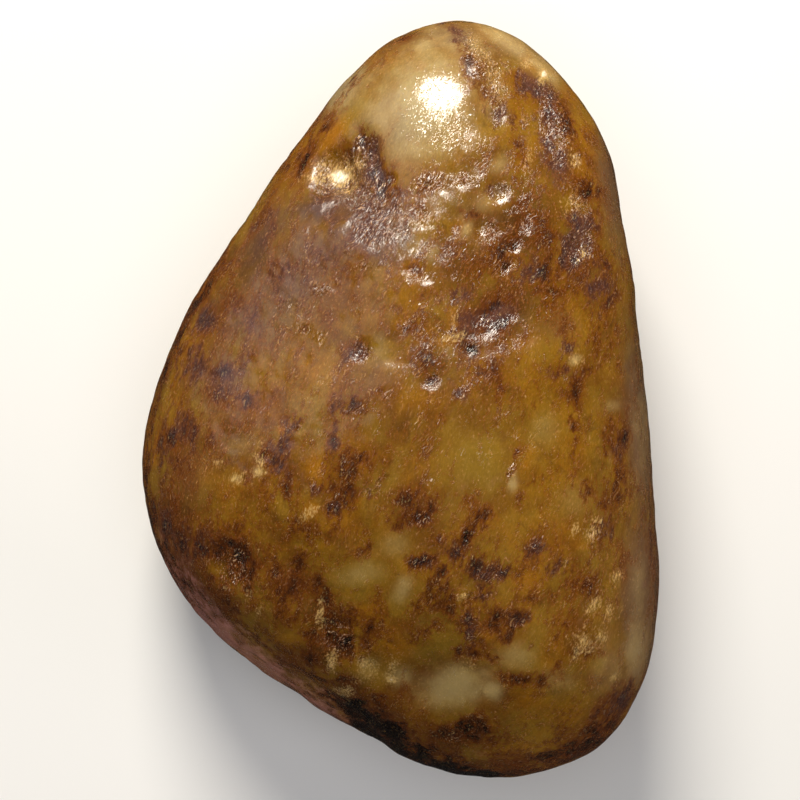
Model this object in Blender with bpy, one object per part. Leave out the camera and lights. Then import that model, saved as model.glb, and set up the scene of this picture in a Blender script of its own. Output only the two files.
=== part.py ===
"""Raw nephrite jade pebble: one water-worn stone, lying on its flattened belly.

Row frame: metres, +Z up. The worn flat that it rests on lies in the plane z = 0, and the origin is
below the middle of the stone's box. +Y points to the narrow end, +X to the straight long side.

The stone grows from a cube cut into a fine grid and blown up to a ball. Each point of the ball is
carried to the stone by its bearing, which picks a point of the waist outline, and by its height,
which picks how far up the dome or down the belly it lies. Relief is then added to that skin.
"""

import math

import bmesh
import bpy
import numpy as np
from mathutils import Vector, noise

MM = 0.001

# Driving dimensions
LENGTH = 70.0 * MM  # along Y, before the wear below
WIDTH = 47.7 * MM  # along X, likewise
CROWN = 15.5 * MM  # top of the dome above the waist
BELLY = 12.5 * MM  # waist above the lowest point of the unworn belly
REST_WEAR = 0.45 * MM  # how much of the belly is worn away by the flat that it rests on

GRID = 27  # squares along each edge of the starting cube

# The waist seen from above, as shares of half the length and half the width, anticlockwise from the
# tip of the narrow end. The left side bulges low down, and the right side is nearly straight.
WAIST = (
    (0.19, 0.99),
    (-0.10, 0.91),
    (-0.37, 0.69),
    (-0.59, 0.48),
    (-0.79, 0.28),
    (-0.93, 0.06),
    (-1.01, -0.17),
    (-0.94, -0.42),
    (-0.74, -0.62),
    (-0.37, -0.80),
    (-0.01, -0.93),
    (0.37, -1.01),
    (0.74, -0.93),
    (0.94, -0.73),
    (1.00, -0.46),
    (0.96, -0.10),
    (0.90, 0.26),
    (0.81, 0.58),
    (0.69, 0.78),
    (0.46, 0.94),
)
CURVE_STEPS = 40  # points of the smooth waist between two named ones
HEART = (0.09, -0.05)  # where the bearings are taken from, in the same shares

# How blunt the section is: 1 is an ellipse, and less is squarer.
SHOULDER_BLUNTNESS = 0.95
BELLY_BLUNTNESS = 0.9

# The waist isn't level: it dips on the side where the long flank shows from above.
WAIST_DIP = 2.6 * MM
WAIST_DIP_BEARING = math.radians(232)

# The crown is lower towards the narrow end and towards the bulging left side.
CROWN_FALL_TO_TIP = 0.16
CROWN_FALL_TO_LEFT = 0.10

# Broad forms of the upper side: name, centre (x, y), length, width, turn in degrees, height, all in
# millimetres. Each is a smooth mound, or a hollow where the height is negative. The turn is
# anticlockwise from +X, and the length and width are where the form has all but died away.
TOP_FORMS = (
    ("tip_knob", (2.6, 28.0), 17.0, 12.0, 80, 0.9),
    ("neck_hollow", (-3.2, 19.6), 15.0, 9.0, 20, -0.8),
    ("chip", (-5.6, 20.4), 10.0, 7.0, 12, -0.9),
    ("chip_lip", (-4.4, 15.0), 13.0, 6.0, -30, 0.5),
    ("ledge_below_knob", (4.6, 19.8), 10.0, 4.5, 4, -0.45),
    ("right_shoulder", (17.4, 12.0), 34.0, 10.0, 100, 0.9),
    ("shoulder_groove", (11.4, 24.0), 16.0, 5.0, 118, -0.6),
    ("left_flat", (-11.0, 6.0), 26.0, 18.0, 62, -1.1),
    ("middle_swell", (4.0, -4.0), 34.0, 26.0, 90, 0.8),
    ("scuffed_hollow", (8.4, 8.0), 14.0, 9.0, 30, -0.6),
    ("flank_ridge", (-8.6, -21.6), 34.0, 7.5, -36, 0.9),
    ("flank_groove", (-14.6, -23.6), 26.0, 7.0, -34, -0.9),
    ("foot_hollow", (2.4, -24.6), 15.0, 9.0, 4, -0.6),
    ("foot_swell", (14.0, -22.0), 18.0, 14.0, 60, 0.7),
)

# Broad forms of the underside, in the same words.
BELLY_FORMS = (
    ("belly_hollow", (9.0, 16.0), 20.0, 12.0, 70, -1.0),
    ("belly_rib", (-9.0, 9.0), 30.0, 8.0, 60, 0.8),
    ("belly_scoop", (-12.0, -15.0), 16.0, 10.0, -30, -0.9),
    ("belly_heel", (13.0, -20.0), 18.0, 12.0, 40, 0.6),
)

# Uneven wear all over: size of the swells and their height
UNEVENNESS = ((17.0 * MM, 0.42 * MM), (7.0 * MM, 0.17 * MM), (3.6 * MM, 0.08 * MM))

# Scoops knocked out by other stones in the river
SCOOP_COUNT = 90
SCOOP_RADIUS = (1.7 * MM, 3.6 * MM)
SCOOP_DEPTH = (0.08 * MM, 0.26 * MM)
SCOOP_SEED = 11

STONE_COLOUR = (0.205, 0.098, 0.026, 1.0)
STONE_ROUGHNESS = 0.3


def clear_scene():
    for obj in list(bpy.data.objects):
        bpy.data.objects.remove(obj, do_unlink=True)


def smooth_closed_curve(points, steps):
    """A closed Catmull-Rom curve through the points."""
    points = np.asarray(points, float)
    before, after = np.roll(points, 1, axis=0), np.roll(points, -1, axis=0)
    beyond = np.roll(points, -2, axis=0)
    stretches = []
    for t in np.linspace(0.0, 1.0, steps, endpoint=False):
        stretches.append(
            0.5
            * (
                2 * points
                + (after - before) * t
                + (2 * before - 5 * points + 4 * after - beyond) * t**2
                + (3 * points - before - 3 * after + beyond) * t**3
            )
        )
    return np.stack(stretches, axis=1).reshape(-1, 2)


class Waist:
    """The outline of the stone seen from above, as a distance from the heart for each bearing."""

    def __init__(self):
        half = np.array((WIDTH / 2, LENGTH / 2))
        self.heart = np.array(HEART) * half
        outline = smooth_closed_curve(np.array(WAIST) * half, CURVE_STEPS) - self.heart
        bearings = np.arctan2(outline[:, 1], outline[:, 0])
        order = np.argsort(bearings)
        self.bearings = bearings[order]
        self.reaches = np.hypot(outline[:, 0], outline[:, 1])[order]

    def reach(self, bearing):
        return float(np.interp(bearing, self.bearings, self.reaches, period=2 * math.pi))


def ball_direction(corner):
    """The direction of a point of the cube. The tangent keeps the squares of one size on the ball."""
    return Vector(math.tan(c * math.pi / 4) for c in corner).normalized()


def carried_to_stone(direction, waist):
    """Where a point of the ball lies on the stone, before any relief."""
    bearing = math.atan2(direction.y, direction.x)
    rise = max(-1.0, min(1.0, direction.z))
    spread = math.sqrt(1.0 - rise * rise)
    upper = rise >= 0.0
    bluntness = SHOULDER_BLUNTNESS if upper else BELLY_BLUNTNESS
    reach = waist.reach(bearing) * spread**bluntness
    x = waist.heart[0] + reach * math.cos(bearing)
    y = waist.heart[1] + reach * math.sin(bearing)
    level = -WAIST_DIP * math.cos(bearing - WAIST_DIP_BEARING) * spread**2
    if upper:
        fall = CROWN_FALL_TO_TIP * y / (LENGTH / 2) - CROWN_FALL_TO_LEFT * x / (WIDTH / 2)
        height = CROWN * (1.0 - fall) * rise**SHOULDER_BLUNTNESS
    else:
        height = -BELLY * (-rise) ** BELLY_BLUNTNESS
    return Vector((x, y, level + height))


def form_height(place, forms):
    """The summed height of the broad forms at a place seen from above."""
    total = 0.0
    for _name, (x, y), length, width, turn, height in forms:
        across, up = place.x / MM - x, place.y / MM - y
        angle = math.radians(turn)
        along = (across * math.cos(angle) + up * math.sin(angle)) / (length / 2)
        aside = (up * math.cos(angle) - across * math.sin(angle)) / (width / 2)
        total += height * MM * math.exp(-1.6 * (along**2 + aside**2))
    return total


def unevenness(place):
    return sum(height * noise.noise(place / size) for size, height in UNEVENNESS)


def make_scoops(waist):
    """(centre, radius, depth) of each scoop, spread evenly over the stone in a golden spiral."""
    random = np.random.default_rng(SCOOP_SEED)
    scoops = []
    for i in range(SCOOP_COUNT):
        rise = 1.0 - 2.0 * (i + 0.5) / SCOOP_COUNT
        spread = math.sqrt(1.0 - rise * rise)
        bearing = i * math.pi * (3.0 - math.sqrt(5.0)) + random.uniform(-0.4, 0.4)
        direction = Vector((spread * math.cos(bearing), spread * math.sin(bearing), rise))
        centre = carried_to_stone(direction, waist)
        scoops.append((centre, random.uniform(*SCOOP_RADIUS), random.uniform(*SCOOP_DEPTH)))
    return scoops


def scoop_depth(place, scoops):
    deepest = 0.0
    for centre, radius, depth in scoops:
        off = (place - centre).length / radius
        if off < 1.0:
            deepest = max(deepest, depth * (1.0 - off * off) ** 2)
    return deepest


def shape_stone(bm):
    """Moves every point of the gridded cube to its place on the stone."""
    waist = Waist()
    scoops = make_scoops(waist)
    for vert in bm.verts:
        direction = ball_direction(vert.co)
        vert.co = carried_to_stone(direction, waist)
        vert[bm.verts.layers.float["rise"]] = direction.z
    bm.normal_update()
    moves = []
    for vert in bm.verts:
        rise = vert[bm.verts.layers.float["rise"]]
        forms = TOP_FORMS if rise >= 0.0 else BELLY_FORMS
        lift = form_height(vert.co, forms) * min(1.0, 2.2 * abs(rise))
        lift += unevenness(vert.co) - scoop_depth(vert.co, scoops)
        moves.append(vert.normal * lift)
    for vert, move in zip(bm.verts, moves):
        vert.co += move


def wear_rest_flat(bm):
    """Wears the lowest part of the belly to a flat, and puts the origin below the middle of the box."""
    flat = min(vert.co.z for vert in bm.verts) + REST_WEAR
    for vert in bm.verts:
        vert.co.z = max(vert.co.z, flat)
    low = Vector(min(vert.co[k] for vert in bm.verts) for k in range(3))
    high = Vector(max(vert.co[k] for vert in bm.verts) for k in range(3))
    middle = Vector(((low.x + high.x) / 2, (low.y + high.y) / 2, flat))
    bmesh.ops.translate(bm, verts=bm.verts[:], vec=-middle)


def stone_material():
    material = bpy.data.materials.new("nephrite_skin")
    material.use_nodes = True
    shader = material.node_tree.nodes["Principled BSDF"]
    shader.inputs["Base Color"].default_value = STONE_COLOUR
    shader.inputs["Roughness"].default_value = STONE_ROUGHNESS
    shader.inputs["Metallic"].default_value = 0.0
    material.diffuse_color = STONE_COLOUR
    return material


def make_pebble():
    bm = bmesh.new()
    bmesh.ops.create_cube(bm, size=2.0)
    bmesh.ops.subdivide_edges(bm, edges=bm.edges[:], cuts=GRID - 1, use_grid_fill=True)
    bm.verts.layers.float.new("rise")
    shape_stone(bm)
    wear_rest_flat(bm)
    bmesh.ops.recalc_face_normals(bm, faces=bm.faces[:])
    mesh = bpy.data.meshes.new("jade_pebble")
    bm.to_mesh(mesh)
    bm.free()
    mesh.shade_smooth()
    mesh.materials.append(stone_material())
    pebble = bpy.data.objects.new("jade_pebble", mesh)
    bpy.context.scene.collection.objects.link(pebble)
    return pebble


clear_scene()
make_pebble()
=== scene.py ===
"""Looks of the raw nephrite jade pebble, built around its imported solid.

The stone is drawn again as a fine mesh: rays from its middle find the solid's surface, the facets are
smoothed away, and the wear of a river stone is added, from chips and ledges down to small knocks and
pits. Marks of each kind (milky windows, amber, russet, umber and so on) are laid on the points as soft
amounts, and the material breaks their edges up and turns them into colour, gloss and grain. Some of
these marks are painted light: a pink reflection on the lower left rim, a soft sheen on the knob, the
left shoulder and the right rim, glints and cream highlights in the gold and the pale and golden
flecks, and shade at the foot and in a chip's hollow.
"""

import math

import bpy
import numpy as np
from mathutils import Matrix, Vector, noise
from mathutils.bvhtree import BVHTree
from mathutils.kdtree import KDTree


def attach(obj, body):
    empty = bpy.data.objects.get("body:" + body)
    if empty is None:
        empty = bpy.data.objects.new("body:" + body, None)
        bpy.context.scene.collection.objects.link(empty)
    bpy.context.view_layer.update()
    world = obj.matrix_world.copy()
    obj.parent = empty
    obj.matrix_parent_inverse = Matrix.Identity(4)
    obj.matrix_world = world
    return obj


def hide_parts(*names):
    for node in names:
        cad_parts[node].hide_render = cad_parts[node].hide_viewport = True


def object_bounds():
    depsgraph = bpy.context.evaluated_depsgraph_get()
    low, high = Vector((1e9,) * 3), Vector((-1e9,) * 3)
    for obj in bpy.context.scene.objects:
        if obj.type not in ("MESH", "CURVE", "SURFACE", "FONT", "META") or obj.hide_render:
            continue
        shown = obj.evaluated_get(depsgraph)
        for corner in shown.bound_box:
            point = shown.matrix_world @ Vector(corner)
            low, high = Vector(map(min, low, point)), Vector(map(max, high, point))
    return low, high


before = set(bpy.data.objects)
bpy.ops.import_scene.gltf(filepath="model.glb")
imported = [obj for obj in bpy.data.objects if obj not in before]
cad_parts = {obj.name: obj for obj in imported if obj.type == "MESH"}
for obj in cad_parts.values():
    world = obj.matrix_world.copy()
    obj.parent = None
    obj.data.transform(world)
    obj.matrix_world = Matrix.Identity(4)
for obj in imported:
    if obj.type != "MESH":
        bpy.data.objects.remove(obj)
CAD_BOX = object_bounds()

MM = 0.001
NODE = "jade_pebble"

# Camera, straight above the stone with +Y up in the picture
IMAGE_SIDE = 800  # pixels
LENS, SENSOR = 100.0, 36.0  # millimetres
CAMERA = Vector((0.1 * MM, 0.2 * MM, 217.4 * MM))
CAMERA_CLIP = (0.01, 10.0)  # metres: nothing nearer or farther is drawn
PICTURE_MIDDLE = 400.0  # pixels, across and down

# Studio. Lights: name, place and diameter (metres), power (watts), colour, and whether the stone's
# gloss mirrors it.
LIGHTS = (
    ("key", (-0.045, 0.30, 0.235), 0.165, 1.88, (1.0, 0.935, 0.82), True),
    ("fill", (-0.30, 0.24, 0.27), 0.36, 0.22, (0.94, 0.90, 1.0), True),
    ("rim", (0.40, -0.12, 0.11), 0.20, 0.60, (1.0, 0.93, 0.95), False),
    ("sky", (0.0, -0.10, 0.60), 0.80, 1.70, (1.0, 1.0, 1.0), False),
)
WORLD_COLOUR = (1.0, 1.0, 1.0, 1.0)
WORLD_STRENGTH = 0.015
FLOOR_REACH = 1.2  # metres to each side of the stone
FLOOR_COLOUR = (0.86, 0.86, 0.85, 1.0)
FLOOR_ROUGHNESS = 0.9

# Fine mesh
CELLS = (124, 180, 84)  # squares of the stone's skin along X, Y and Z
SMOOTHING_ROUNDS = 24
SMOOTHING_STEP = 0.32  # millimetres: neighbours farther off than this pull less
SMOOTHING_PULL = 0.2  # share of the gap to a neighbour that a point moves in a round
POLISH_ROUNDS = 60
POLISH_PULL = 2.0  # these rounds count in full where the polish times this is 1 or more
POLISH_SLOPE = (0.0, 0.2)  # Z of the normal where the polish starts and is full
ISLAND_GAP = 6  # between the faces of the skin's map, in squares
MAP_SIDE = 2 * (CELLS[1] + ISLAND_GAP)  # of the whole map, in squares
FOOT_FADE = (0.1, 0.9)  # millimetres above the rest flat where the relief starts and is full

# A wave is noise laid over the stone: its height, the size of its swells (mm) and a shift (so that no
# two waves are alike). The height is in millimetres where it lifts the skin, and else a share.
SWELLS = ((0.16, 4.6, 4.6), (0.075, 2.1, 2.1), (0.026, 1.05, 1.05))  # uneven skin all over
SWELLS_LOST_TO_WINDOW = 0.7  # share of the swells that a milky window lacks
RELIEF_LOST_TO_POLISH = 0.85  # share of the fine relief that the polish has taken away

# Knocks (crescents) and pits left by other stones, in millimetres
KNOCKS = 900
KNOCK_RADIUS = (0.35, 1.3)
KNOCK_DEPTH = (0.015, 0.06)
KNOCK_OPENING = (-0.2, 0.5)  # where across the ring the crescent starts and is full, in radii
KNOCK_RIM = (0.22, 0.12)  # its width: a share of the radius, and a part in millimetres
KNOCK_REACH = 1.6  # how far it reaches, in radii
PITS = 520
PIT_RADIUS = (0.3, 0.85)
PIT_DEPTH = (0.02, 0.09)
PIT_CHANCE_ON_SMOOTH = 0.02  # against 1 on fully rough skin
PIT_CHANCE_POWER = 1.5
RELIEF_SEED = 5

# Crags of the rough skin, and how deep the skin is eaten away under dark marks (mm)
CRAG_DEPTH = 0.05
CRAGS = ((1.0, 0.75, 7.0), (0.6, 1.3, 9.0))  # waves
UMBER_DEPTH = 0.05
RUSSET_DEPTH = 0.02

# Chips: place in the picture (pixels), radius and depth (mm)
CHIPS = (
    ((337, 176), 2.6, 0.45),
    ((366, 152), 1.9, 0.55),
    ((352, 196), 2.8, 0.18),
    ((372, 222), 2.6, 0.22),
    ((494, 190), 0.9, 0.16),
    ((525, 224), 0.9, 0.18),
    ((516, 245), 0.8, 0.15),
    ((478, 316), 2.2, 0.11),
    ((512, 332), 2.0, 0.11),
    ((362, 354), 1.0, 0.14),
    ((434, 381), 0.9, 0.16),
    ((581, 205), 2.0, 0.20),
    ((578, 245), 2.2, 0.22),
    ((552, 132), 2.0, 0.20),
    ((493, 92), 1.6, 0.20),
    ((497, 122), 1.3, 0.18),
    ((232, 566), 2.6, 0.28),
    ((340, 640), 2.4, 0.25),
    ((372, 664), 1.4, 0.18),
    ((466, 590), 1.2, 0.14),
    ((594, 606), 1.4, 0.15),
)
CHIP_EDGE = (0.25, 1.2, 11.0)  # wave that makes the edge ragged, in radii
SEEN_SLOPE = 0.1  # a chip has its middle where Z of the normal is above this

# Notches: place in the picture, length and width (pixels), turn (degrees) and depth (mm). The skin
# slopes down along the turn and steps back up at its end.
NOTCHES = (
    (340, 172, 66, 40, -4, 0.60),
    (372, 190, 40, 60, -40, 0.25),
    (497, 190, 26, 26, -50, 0.20),
    (484, 222, 30, 26, -60, 0.22),
    (420, 270, 30, 34, -80, 0.18),
    (506, 262, 24, 26, -50, 0.16),
    (514, 242, 20, 26, -60, 0.16),
    (432, 376, 20, 22, -70, 0.16),
    (362, 348, 22, 28, -60, 0.16),
    (500, 312, 30, 60, -60, 0.10),
    (575, 245, 34, 40, -60, 0.24),
    (550, 90, 30, 30, -60, 0.20),
    (490, 72, 26, 50, -30, 0.18),
)
NOTCH_EDGE = (1.0, 0.9, 23.0)  # wave that makes it ragged
NOTCH_STRAY = (0.25, 0.5)  # how much of that wave counts: along, in lengths, and aside, in half widths
NOTCH_END = 0.72  # where along its length the notch is deepest
NOTCH_SIDES = (0.55, 1.0)  # where it starts to fade and is gone, in half widths
BROKEN_DEPTH = (0.05, 0.22)  # the skin is rough where a chip or notch is this deep, in millimetres
BROKEN_ROUGH = 0.8

# Mounds and hollows: place in the picture, length and width (pixels), turn (degrees), height (mm)
MOUNDS = (
    (438, 91, 84, 84, 0, -0.08),
    (474, 92, 76, 76, 0, 0.25),
    (432, 170, 190, 110, 0, 0.36),
    (432, 214, 190, 110, 0, -0.36),
    (430, 760, 120, 60, -18, 0.60),
)
MOUND_FALL = 1.6  # how fast a mound dies away from its middle

# Ledges: the two ends in the picture (pixels), height (mm). The skin steps down to the right of the way
# from the first end to the second.
LEDGES = (
    ((483, 191), (410, 172), 0.03),
    ((380, 182), (352, 128), 0.30),
    ((438, 26), (506, 120), 0.14),
    ((300, 668), (395, 742), 0.20),
    ((212, 540), (262, 590), 0.16),
    ((570, 90), (596, 170), 0.14),
    ((560, 430), (508, 478), 0.08),
)
LEDGE_STEP = 4.0  # half the width of the step, in pixels
LEDGE_FADE = 7.0  # how far to each side it fades away, in steps
LEDGE_ENDS = 0.15  # over how much of its length each end fades away
RELIEF_BORDER = (-0.1, 0.1)  # Z of the normal where notches, mounds and ledges start and are full

# Marks on the side that faces up: place in the picture (across, down), length and width, all in
# pixels, then the turn (degrees anticlockwise from the right) and the strength.
MARKS = {
    "polish": ((428, 108, 136, 124, 68, 1.25),),
    "window": (
        (425, 100, 134, 112, 68, 0.76), (385, 112, 70, 60, 50, 0.65), (425, 48, 50, 34, 10, 0.6),
        (420, 150, 96, 36, 0, 0.6), (500, 165, 34, 22, 60, 0.5), (500, 34, 90, 26, -32, 0.75),
        (545, 70, 60, 26, -50, 0.7), (467, 229, 28, 16, 60, 0.6), (433, 252, 32, 14, 60, 0.5),
        (465, 213, 20, 10, 30, 0.5), (575, 360, 20, 12, 40, 0.7), (513, 484, 24, 13, 80, 0.8),
        (243, 445, 60, 34, 20, 0.3), (258, 471, 16, 12, 0, 0.7), (236, 478, 14, 10, 0, 0.6),
        (380, 358, 40, 30, 60, 0.25), (372, 385, 40, 16, 70, 0.2), (400, 676, 40, 30, 0, 0.6),
        (575, 500, 60, 50, 0, 0.3), (402, 590, 38, 24, 70, 0.6), (360, 574, 66, 30, 10, 0.45),
        (395, 545, 50, 36, 30, 0.4), (456, 686, 86, 50, 8, 1.0), (492, 690, 30, 24, 0, 1.0),
        (368, 668, 38, 26, 20, 0.35), (515, 655, 50, 40, 0, 0.55), (560, 680, 60, 40, 0, 0.35),
        (484, 204, 56, 30, 40, 0.45), (455, 40, 110, 50, -20, 0.5), (512, 42, 80, 34, -35, 0.5),
        (638, 590, 90, 26, 88, 0.45), (641, 430, 140, 30, 93, 0.4), (636, 650, 90, 34, 80, 0.6),
        (610, 665, 80, 60, 70, 0.4), (615, 405, 30, 20, 20, 0.4), (545, 430, 50, 40, 60, 0.3),
    ),
    # pale tint on the knob and top rim: partly milky stone, partly a painted soft sheen of the lamps
    "pearl_and_sheen": (
        (425, 100, 134, 112, 68, 0.7), (455, 40, 110, 50, -20, 0.3), (512, 46, 80, 34, -35, 0.5),
        (345, 85, 80, 50, 60, 0.8), (490, 100, 60, 40, 60, 0.4),
    ),
    "olive": (
        (469, 461, 104, 84, 20, 1.0), (450, 510, 50, 50, 0, 0.7), (535, 430, 70, 60, 60, 0.6),
        (500, 420, 60, 40, 0, 0.5), (380, 430, 60, 36, 40, 0.5), (543, 345, 60, 40, 80, 0.7),
        (600, 400, 60, 50, 80, 0.5), (360, 575, 94, 46, 8, 1.0), (395, 540, 60, 50, 0, 0.6),
        (395, 600, 40, 30, 0, 0.5), (450, 200, 60, 30, 10, 0.7), (380, 350, 50, 30, 60, 0.6),
        (560, 200, 40, 40, 0, 0.5), (575, 500, 80, 70, 0, 0.6), (617, 200, 150, 26, 97, 0.7),
        (628, 330, 120, 24, 95, 0.6), (250, 275, 60, 30, 60, 0.6), (290, 210, 60, 30, 60, 0.6),
        (300, 250, 60, 50, 0, 0.4), (355, 110, 80, 40, 60, 0.7), (520, 660, 60, 60, 0, 0.5),
        (560, 690, 60, 40, 0, 0.5), (440, 650, 120, 40, 10, 0.6), (600, 600, 50, 50, 0, 0.4),
        (215, 470, 60, 50, 0, 0.3), (545, 740, 80, 30, 10, 0.5), (290, 635, 40, 24, 20, 0.5),
        (505, 65, 30, 30, 0, 0.6), (250, 380, 60, 40, 40, 0.4), (340, 560, 60, 40, 0, 0.4),
        (530, 500, 60, 40, 60, 0.4),
    ),
    "amber": (
        (500, 35, 80, 22, -32, 0.9), (490, 26, 40, 10, -10, 0.9), (530, 62, 40, 22, -50, 0.8),
        (553, 72, 20, 10, -45, 1.0), (572, 95, 40, 16, -60, 0.6), (590, 130, 40, 20, -65, 0.5),
        (335, 135, 60, 24, 55, 0.8), (365, 60, 50, 10, 30, 0.6), (310, 158, 20, 20, 0, 0.5),
        (525, 155, 50, 30, 70, 0.5), (500, 205, 50, 30, 0, 0.5), (414, 262, 16, 14, 0, 0.9),
        (440, 275, 60, 40, 0, 0.4), (586, 252, 18, 12, 70, 1.0), (513, 254, 14, 8, 10, 0.8),
        (580, 160, 30, 12, -60, 0.6), (455, 318, 44, 24, 80, 0.8), (448, 340, 30, 14, 10, 0.9),
        (370, 325, 60, 40, 20, 0.3), (330, 370, 60, 50, 70, 0.35), (345, 350, 60, 40, 60, 0.2),
        (420, 400, 80, 50, 0, 0.5), (525, 340, 50, 40, 0, 0.5), (605, 380, 40, 40, 0, 0.3),
        (270, 410, 50, 40, 30, 0.4), (282, 430, 14, 14, 0, 0.9), (316, 468, 44, 34, 80, 0.75),
        (210, 475, 70, 40, 10, 0.35), (260, 490, 40, 20, 0, 0.3), (312, 510, 24, 20, 60, 0.9),
        (340, 520, 60, 40, 0, 0.5), (385, 525, 40, 40, 0, 0.5), (530, 455, 40, 16, 70, 0.5),
        (570, 530, 40, 30, 60, 0.3), (580, 545, 30, 20, 0, 0.5), (545, 510, 60, 40, 60, 0.3),
        (530, 580, 50, 40, 60, 0.6), (370, 615, 60, 40, 0, 0.5), (470, 610, 26, 26, 0, 0.8),
        (487, 632, 26, 24, 0, 1.0), (402, 645, 50, 50, 0, 0.6), (320, 615, 30, 10, 85, 0.9),
        (285, 640, 50, 20, -10, 0.6), (404, 720, 50, 20, -10, 0.5), (530, 700, 60, 50, 0, 0.5),
        (555, 660, 40, 40, 0, 0.5), (530, 745, 80, 30, 8, 0.4), (510, 540, 40, 40, 0, 0.5),
        (155, 450, 50, 8, 86, 0.8), (180, 350, 50, 12, 66, 0.5),
    ),
    "russet": (
        (405, 38, 20, 10, 30, 1.0), (352, 84, 24, 8, 70, 1.1), (345, 106, 26, 12, 75, 1.3),
        (327, 128, 34, 12, 55, 1.4), (305, 155, 50, 16, 62, 1.0), (290, 160, 60, 14, 58, 0.7),
        (360, 135, 40, 14, 110, 0.8), (350, 148, 24, 16, 40, 0.9), (400, 195, 50, 34, -30, 0.8),
        (425, 185, 40, 30, 20, 0.7), (455, 28, 40, 14, -25, 0.7), (470, 62, 50, 20, -60, 0.8),
        (495, 100, 50, 24, -70, 0.6), (512, 125, 34, 16, 100, 0.9), (540, 60, 30, 20, -40, 0.6),
        (530, 90, 50, 34, -50, 0.7), (548, 120, 90, 34, 98, 0.7), (520, 150, 60, 34, 80, 0.6),
        (565, 115, 50, 14, -75, 0.9), (575, 130, 30, 16, 90, 0.6), (560, 165, 40, 34, 80, 0.8),
        (590, 195, 40, 34, -60, 0.9), (540, 205, 70, 50, 70, 0.6), (510, 200, 40, 26, 60, 0.6),
        (500, 240, 50, 40, 60, 0.8), (530, 265, 60, 40, 60, 0.8), (545, 290, 60, 40, 60, 0.6),
        (530, 235, 130, 90, 100, 0.85), (430, 258, 100, 60, 10, 0.5), (300, 200, 90, 40, 40, 0.5),
        (495, 320, 130, 90, 20, 0.55), (570, 180, 90, 40, 105, 0.5), (440, 300, 110, 60, 10, 0.35),
        (560, 120, 120, 50, -70, 0.45), (590, 260, 120, 50, 96, 0.5), (475, 215, 30, 14, 0, 0.7),
        (475, 265, 60, 30, 20, 0.5), (430, 300, 60, 26, 10, 0.6), (460, 296, 40, 30, 60, 0.8),
        (500, 300, 70, 30, 10, 0.8), (485, 325, 90, 44, 20, 0.9), (470, 350, 40, 30, 0, 0.8),
        (430, 362, 60, 34, 0, 0.8), (490, 370, 60, 40, 0, 0.6), (510, 385, 40, 40, 0, 0.6),
        (385, 330, 40, 24, 20, 0.4), (355, 350, 40, 24, 30, 0.6), (410, 330, 50, 30, 20, 0.5),
        (580, 228, 80, 50, 80, 0.8), (600, 290, 60, 40, 70, 0.8), (560, 320, 50, 30, 90, 0.5),
        (570, 345, 30, 24, 0, 0.6), (566, 364, 44, 24, 30, 0.6), (575, 395, 70, 18, 92, 0.8),
        (575, 430, 50, 18, 95, 0.7), (600, 340, 60, 40, 80, 0.5), (635, 300, 120, 16, 97, 0.5),
        (640, 400, 140, 18, 94, 0.4), (650, 520, 150, 18, 90, 0.4), (645, 640, 120, 20, 80, 0.3),
        (620, 440, 60, 40, 80, 0.7), (600, 450, 60, 40, 60, 0.6), (600, 490, 80, 60, 60, 0.8),
        (610, 500, 50, 40, 60, 0.8), (630, 480, 60, 30, 90, 0.7), (600, 530, 60, 40, 90, 0.7),
        (585, 575, 80, 50, 0, 0.8), (560, 580, 60, 34, 90, 0.8), (590, 600, 90, 60, 0, 0.6),
        (570, 620, 60, 40, 0, 0.6), (620, 570, 60, 40, 60, 0.6), (590, 650, 60, 24, 0, 0.7),
        (558, 665, 50, 20, 90, 0.7), (620, 700, 60, 40, 50, 0.9), (600, 735, 80, 30, 38, 0.9),
        (560, 755, 80, 24, 20, 0.9), (262, 215, 90, 14, 58, 0.7), (272, 235, 50, 14, 80, 0.7),
        (225, 262, 50, 24, 55, 0.9), (240, 262, 60, 14, 60, 0.7), (200, 300, 60, 14, 58, 1.0),
        (182, 330, 50, 14, 62, 0.9), (168, 365, 60, 12, 68, 0.9), (155, 410, 60, 12, 76, 0.9),
        (230, 300, 60, 24, 75, 0.6), (205, 318, 40, 24, 60, 0.8), (245, 320, 50, 24, 50, 0.6),
        (275, 275, 60, 24, 110, 0.6), (300, 270, 50, 30, 0, 0.5), (290, 290, 50, 24, -20, 0.5),
        (320, 250, 60, 60, 0, 0.4), (240, 350, 70, 40, 40, 0.6), (195, 365, 50, 44, 60, 0.8),
        (225, 370, 50, 34, 30, 0.8), (215, 395, 80, 34, 0, 0.8), (250, 400, 24, 20, 60, 0.7),
        (190, 425, 60, 40, 70, 0.9), (165, 445, 60, 30, 80, 0.8), (175, 480, 60, 40, 90, 0.7),
        (205, 440, 50, 30, 0, 0.6), (220, 455, 24, 12, 60, 0.6), (248, 480, 20, 14, 60, 0.7),
        (290, 420, 50, 20, 58, 0.9), (272, 460, 50, 40, 60, 0.9), (300, 440, 40, 20, 0, 0.4),
        (275, 490, 60, 24, 0, 0.7), (295, 490, 50, 30, 90, 0.7), (332, 440, 90, 20, 88, 0.9),
        (345, 470, 80, 30, 88, 0.7), (360, 470, 50, 40, 60, 0.7), (350, 400, 60, 30, 30, 0.7),
        (345, 412, 50, 14, 0, 0.8), (370, 395, 30, 20, 0, 0.5), (320, 490, 40, 20, 0, 0.5),
        (340, 500, 60, 30, 80, 0.7), (330, 530, 60, 24, 0, 0.6), (300, 525, 30, 30, 0, 0.6),
        (365, 552, 40, 14, 35, 0.7), (443, 420, 30, 20, 60, 0.5), (405, 432, 40, 14, 0, 0.5),
        (410, 510, 50, 44, 45, 1.0), (430, 505, 30, 24, 60, 0.8), (398, 530, 24, 16, 45, 0.7),
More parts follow.
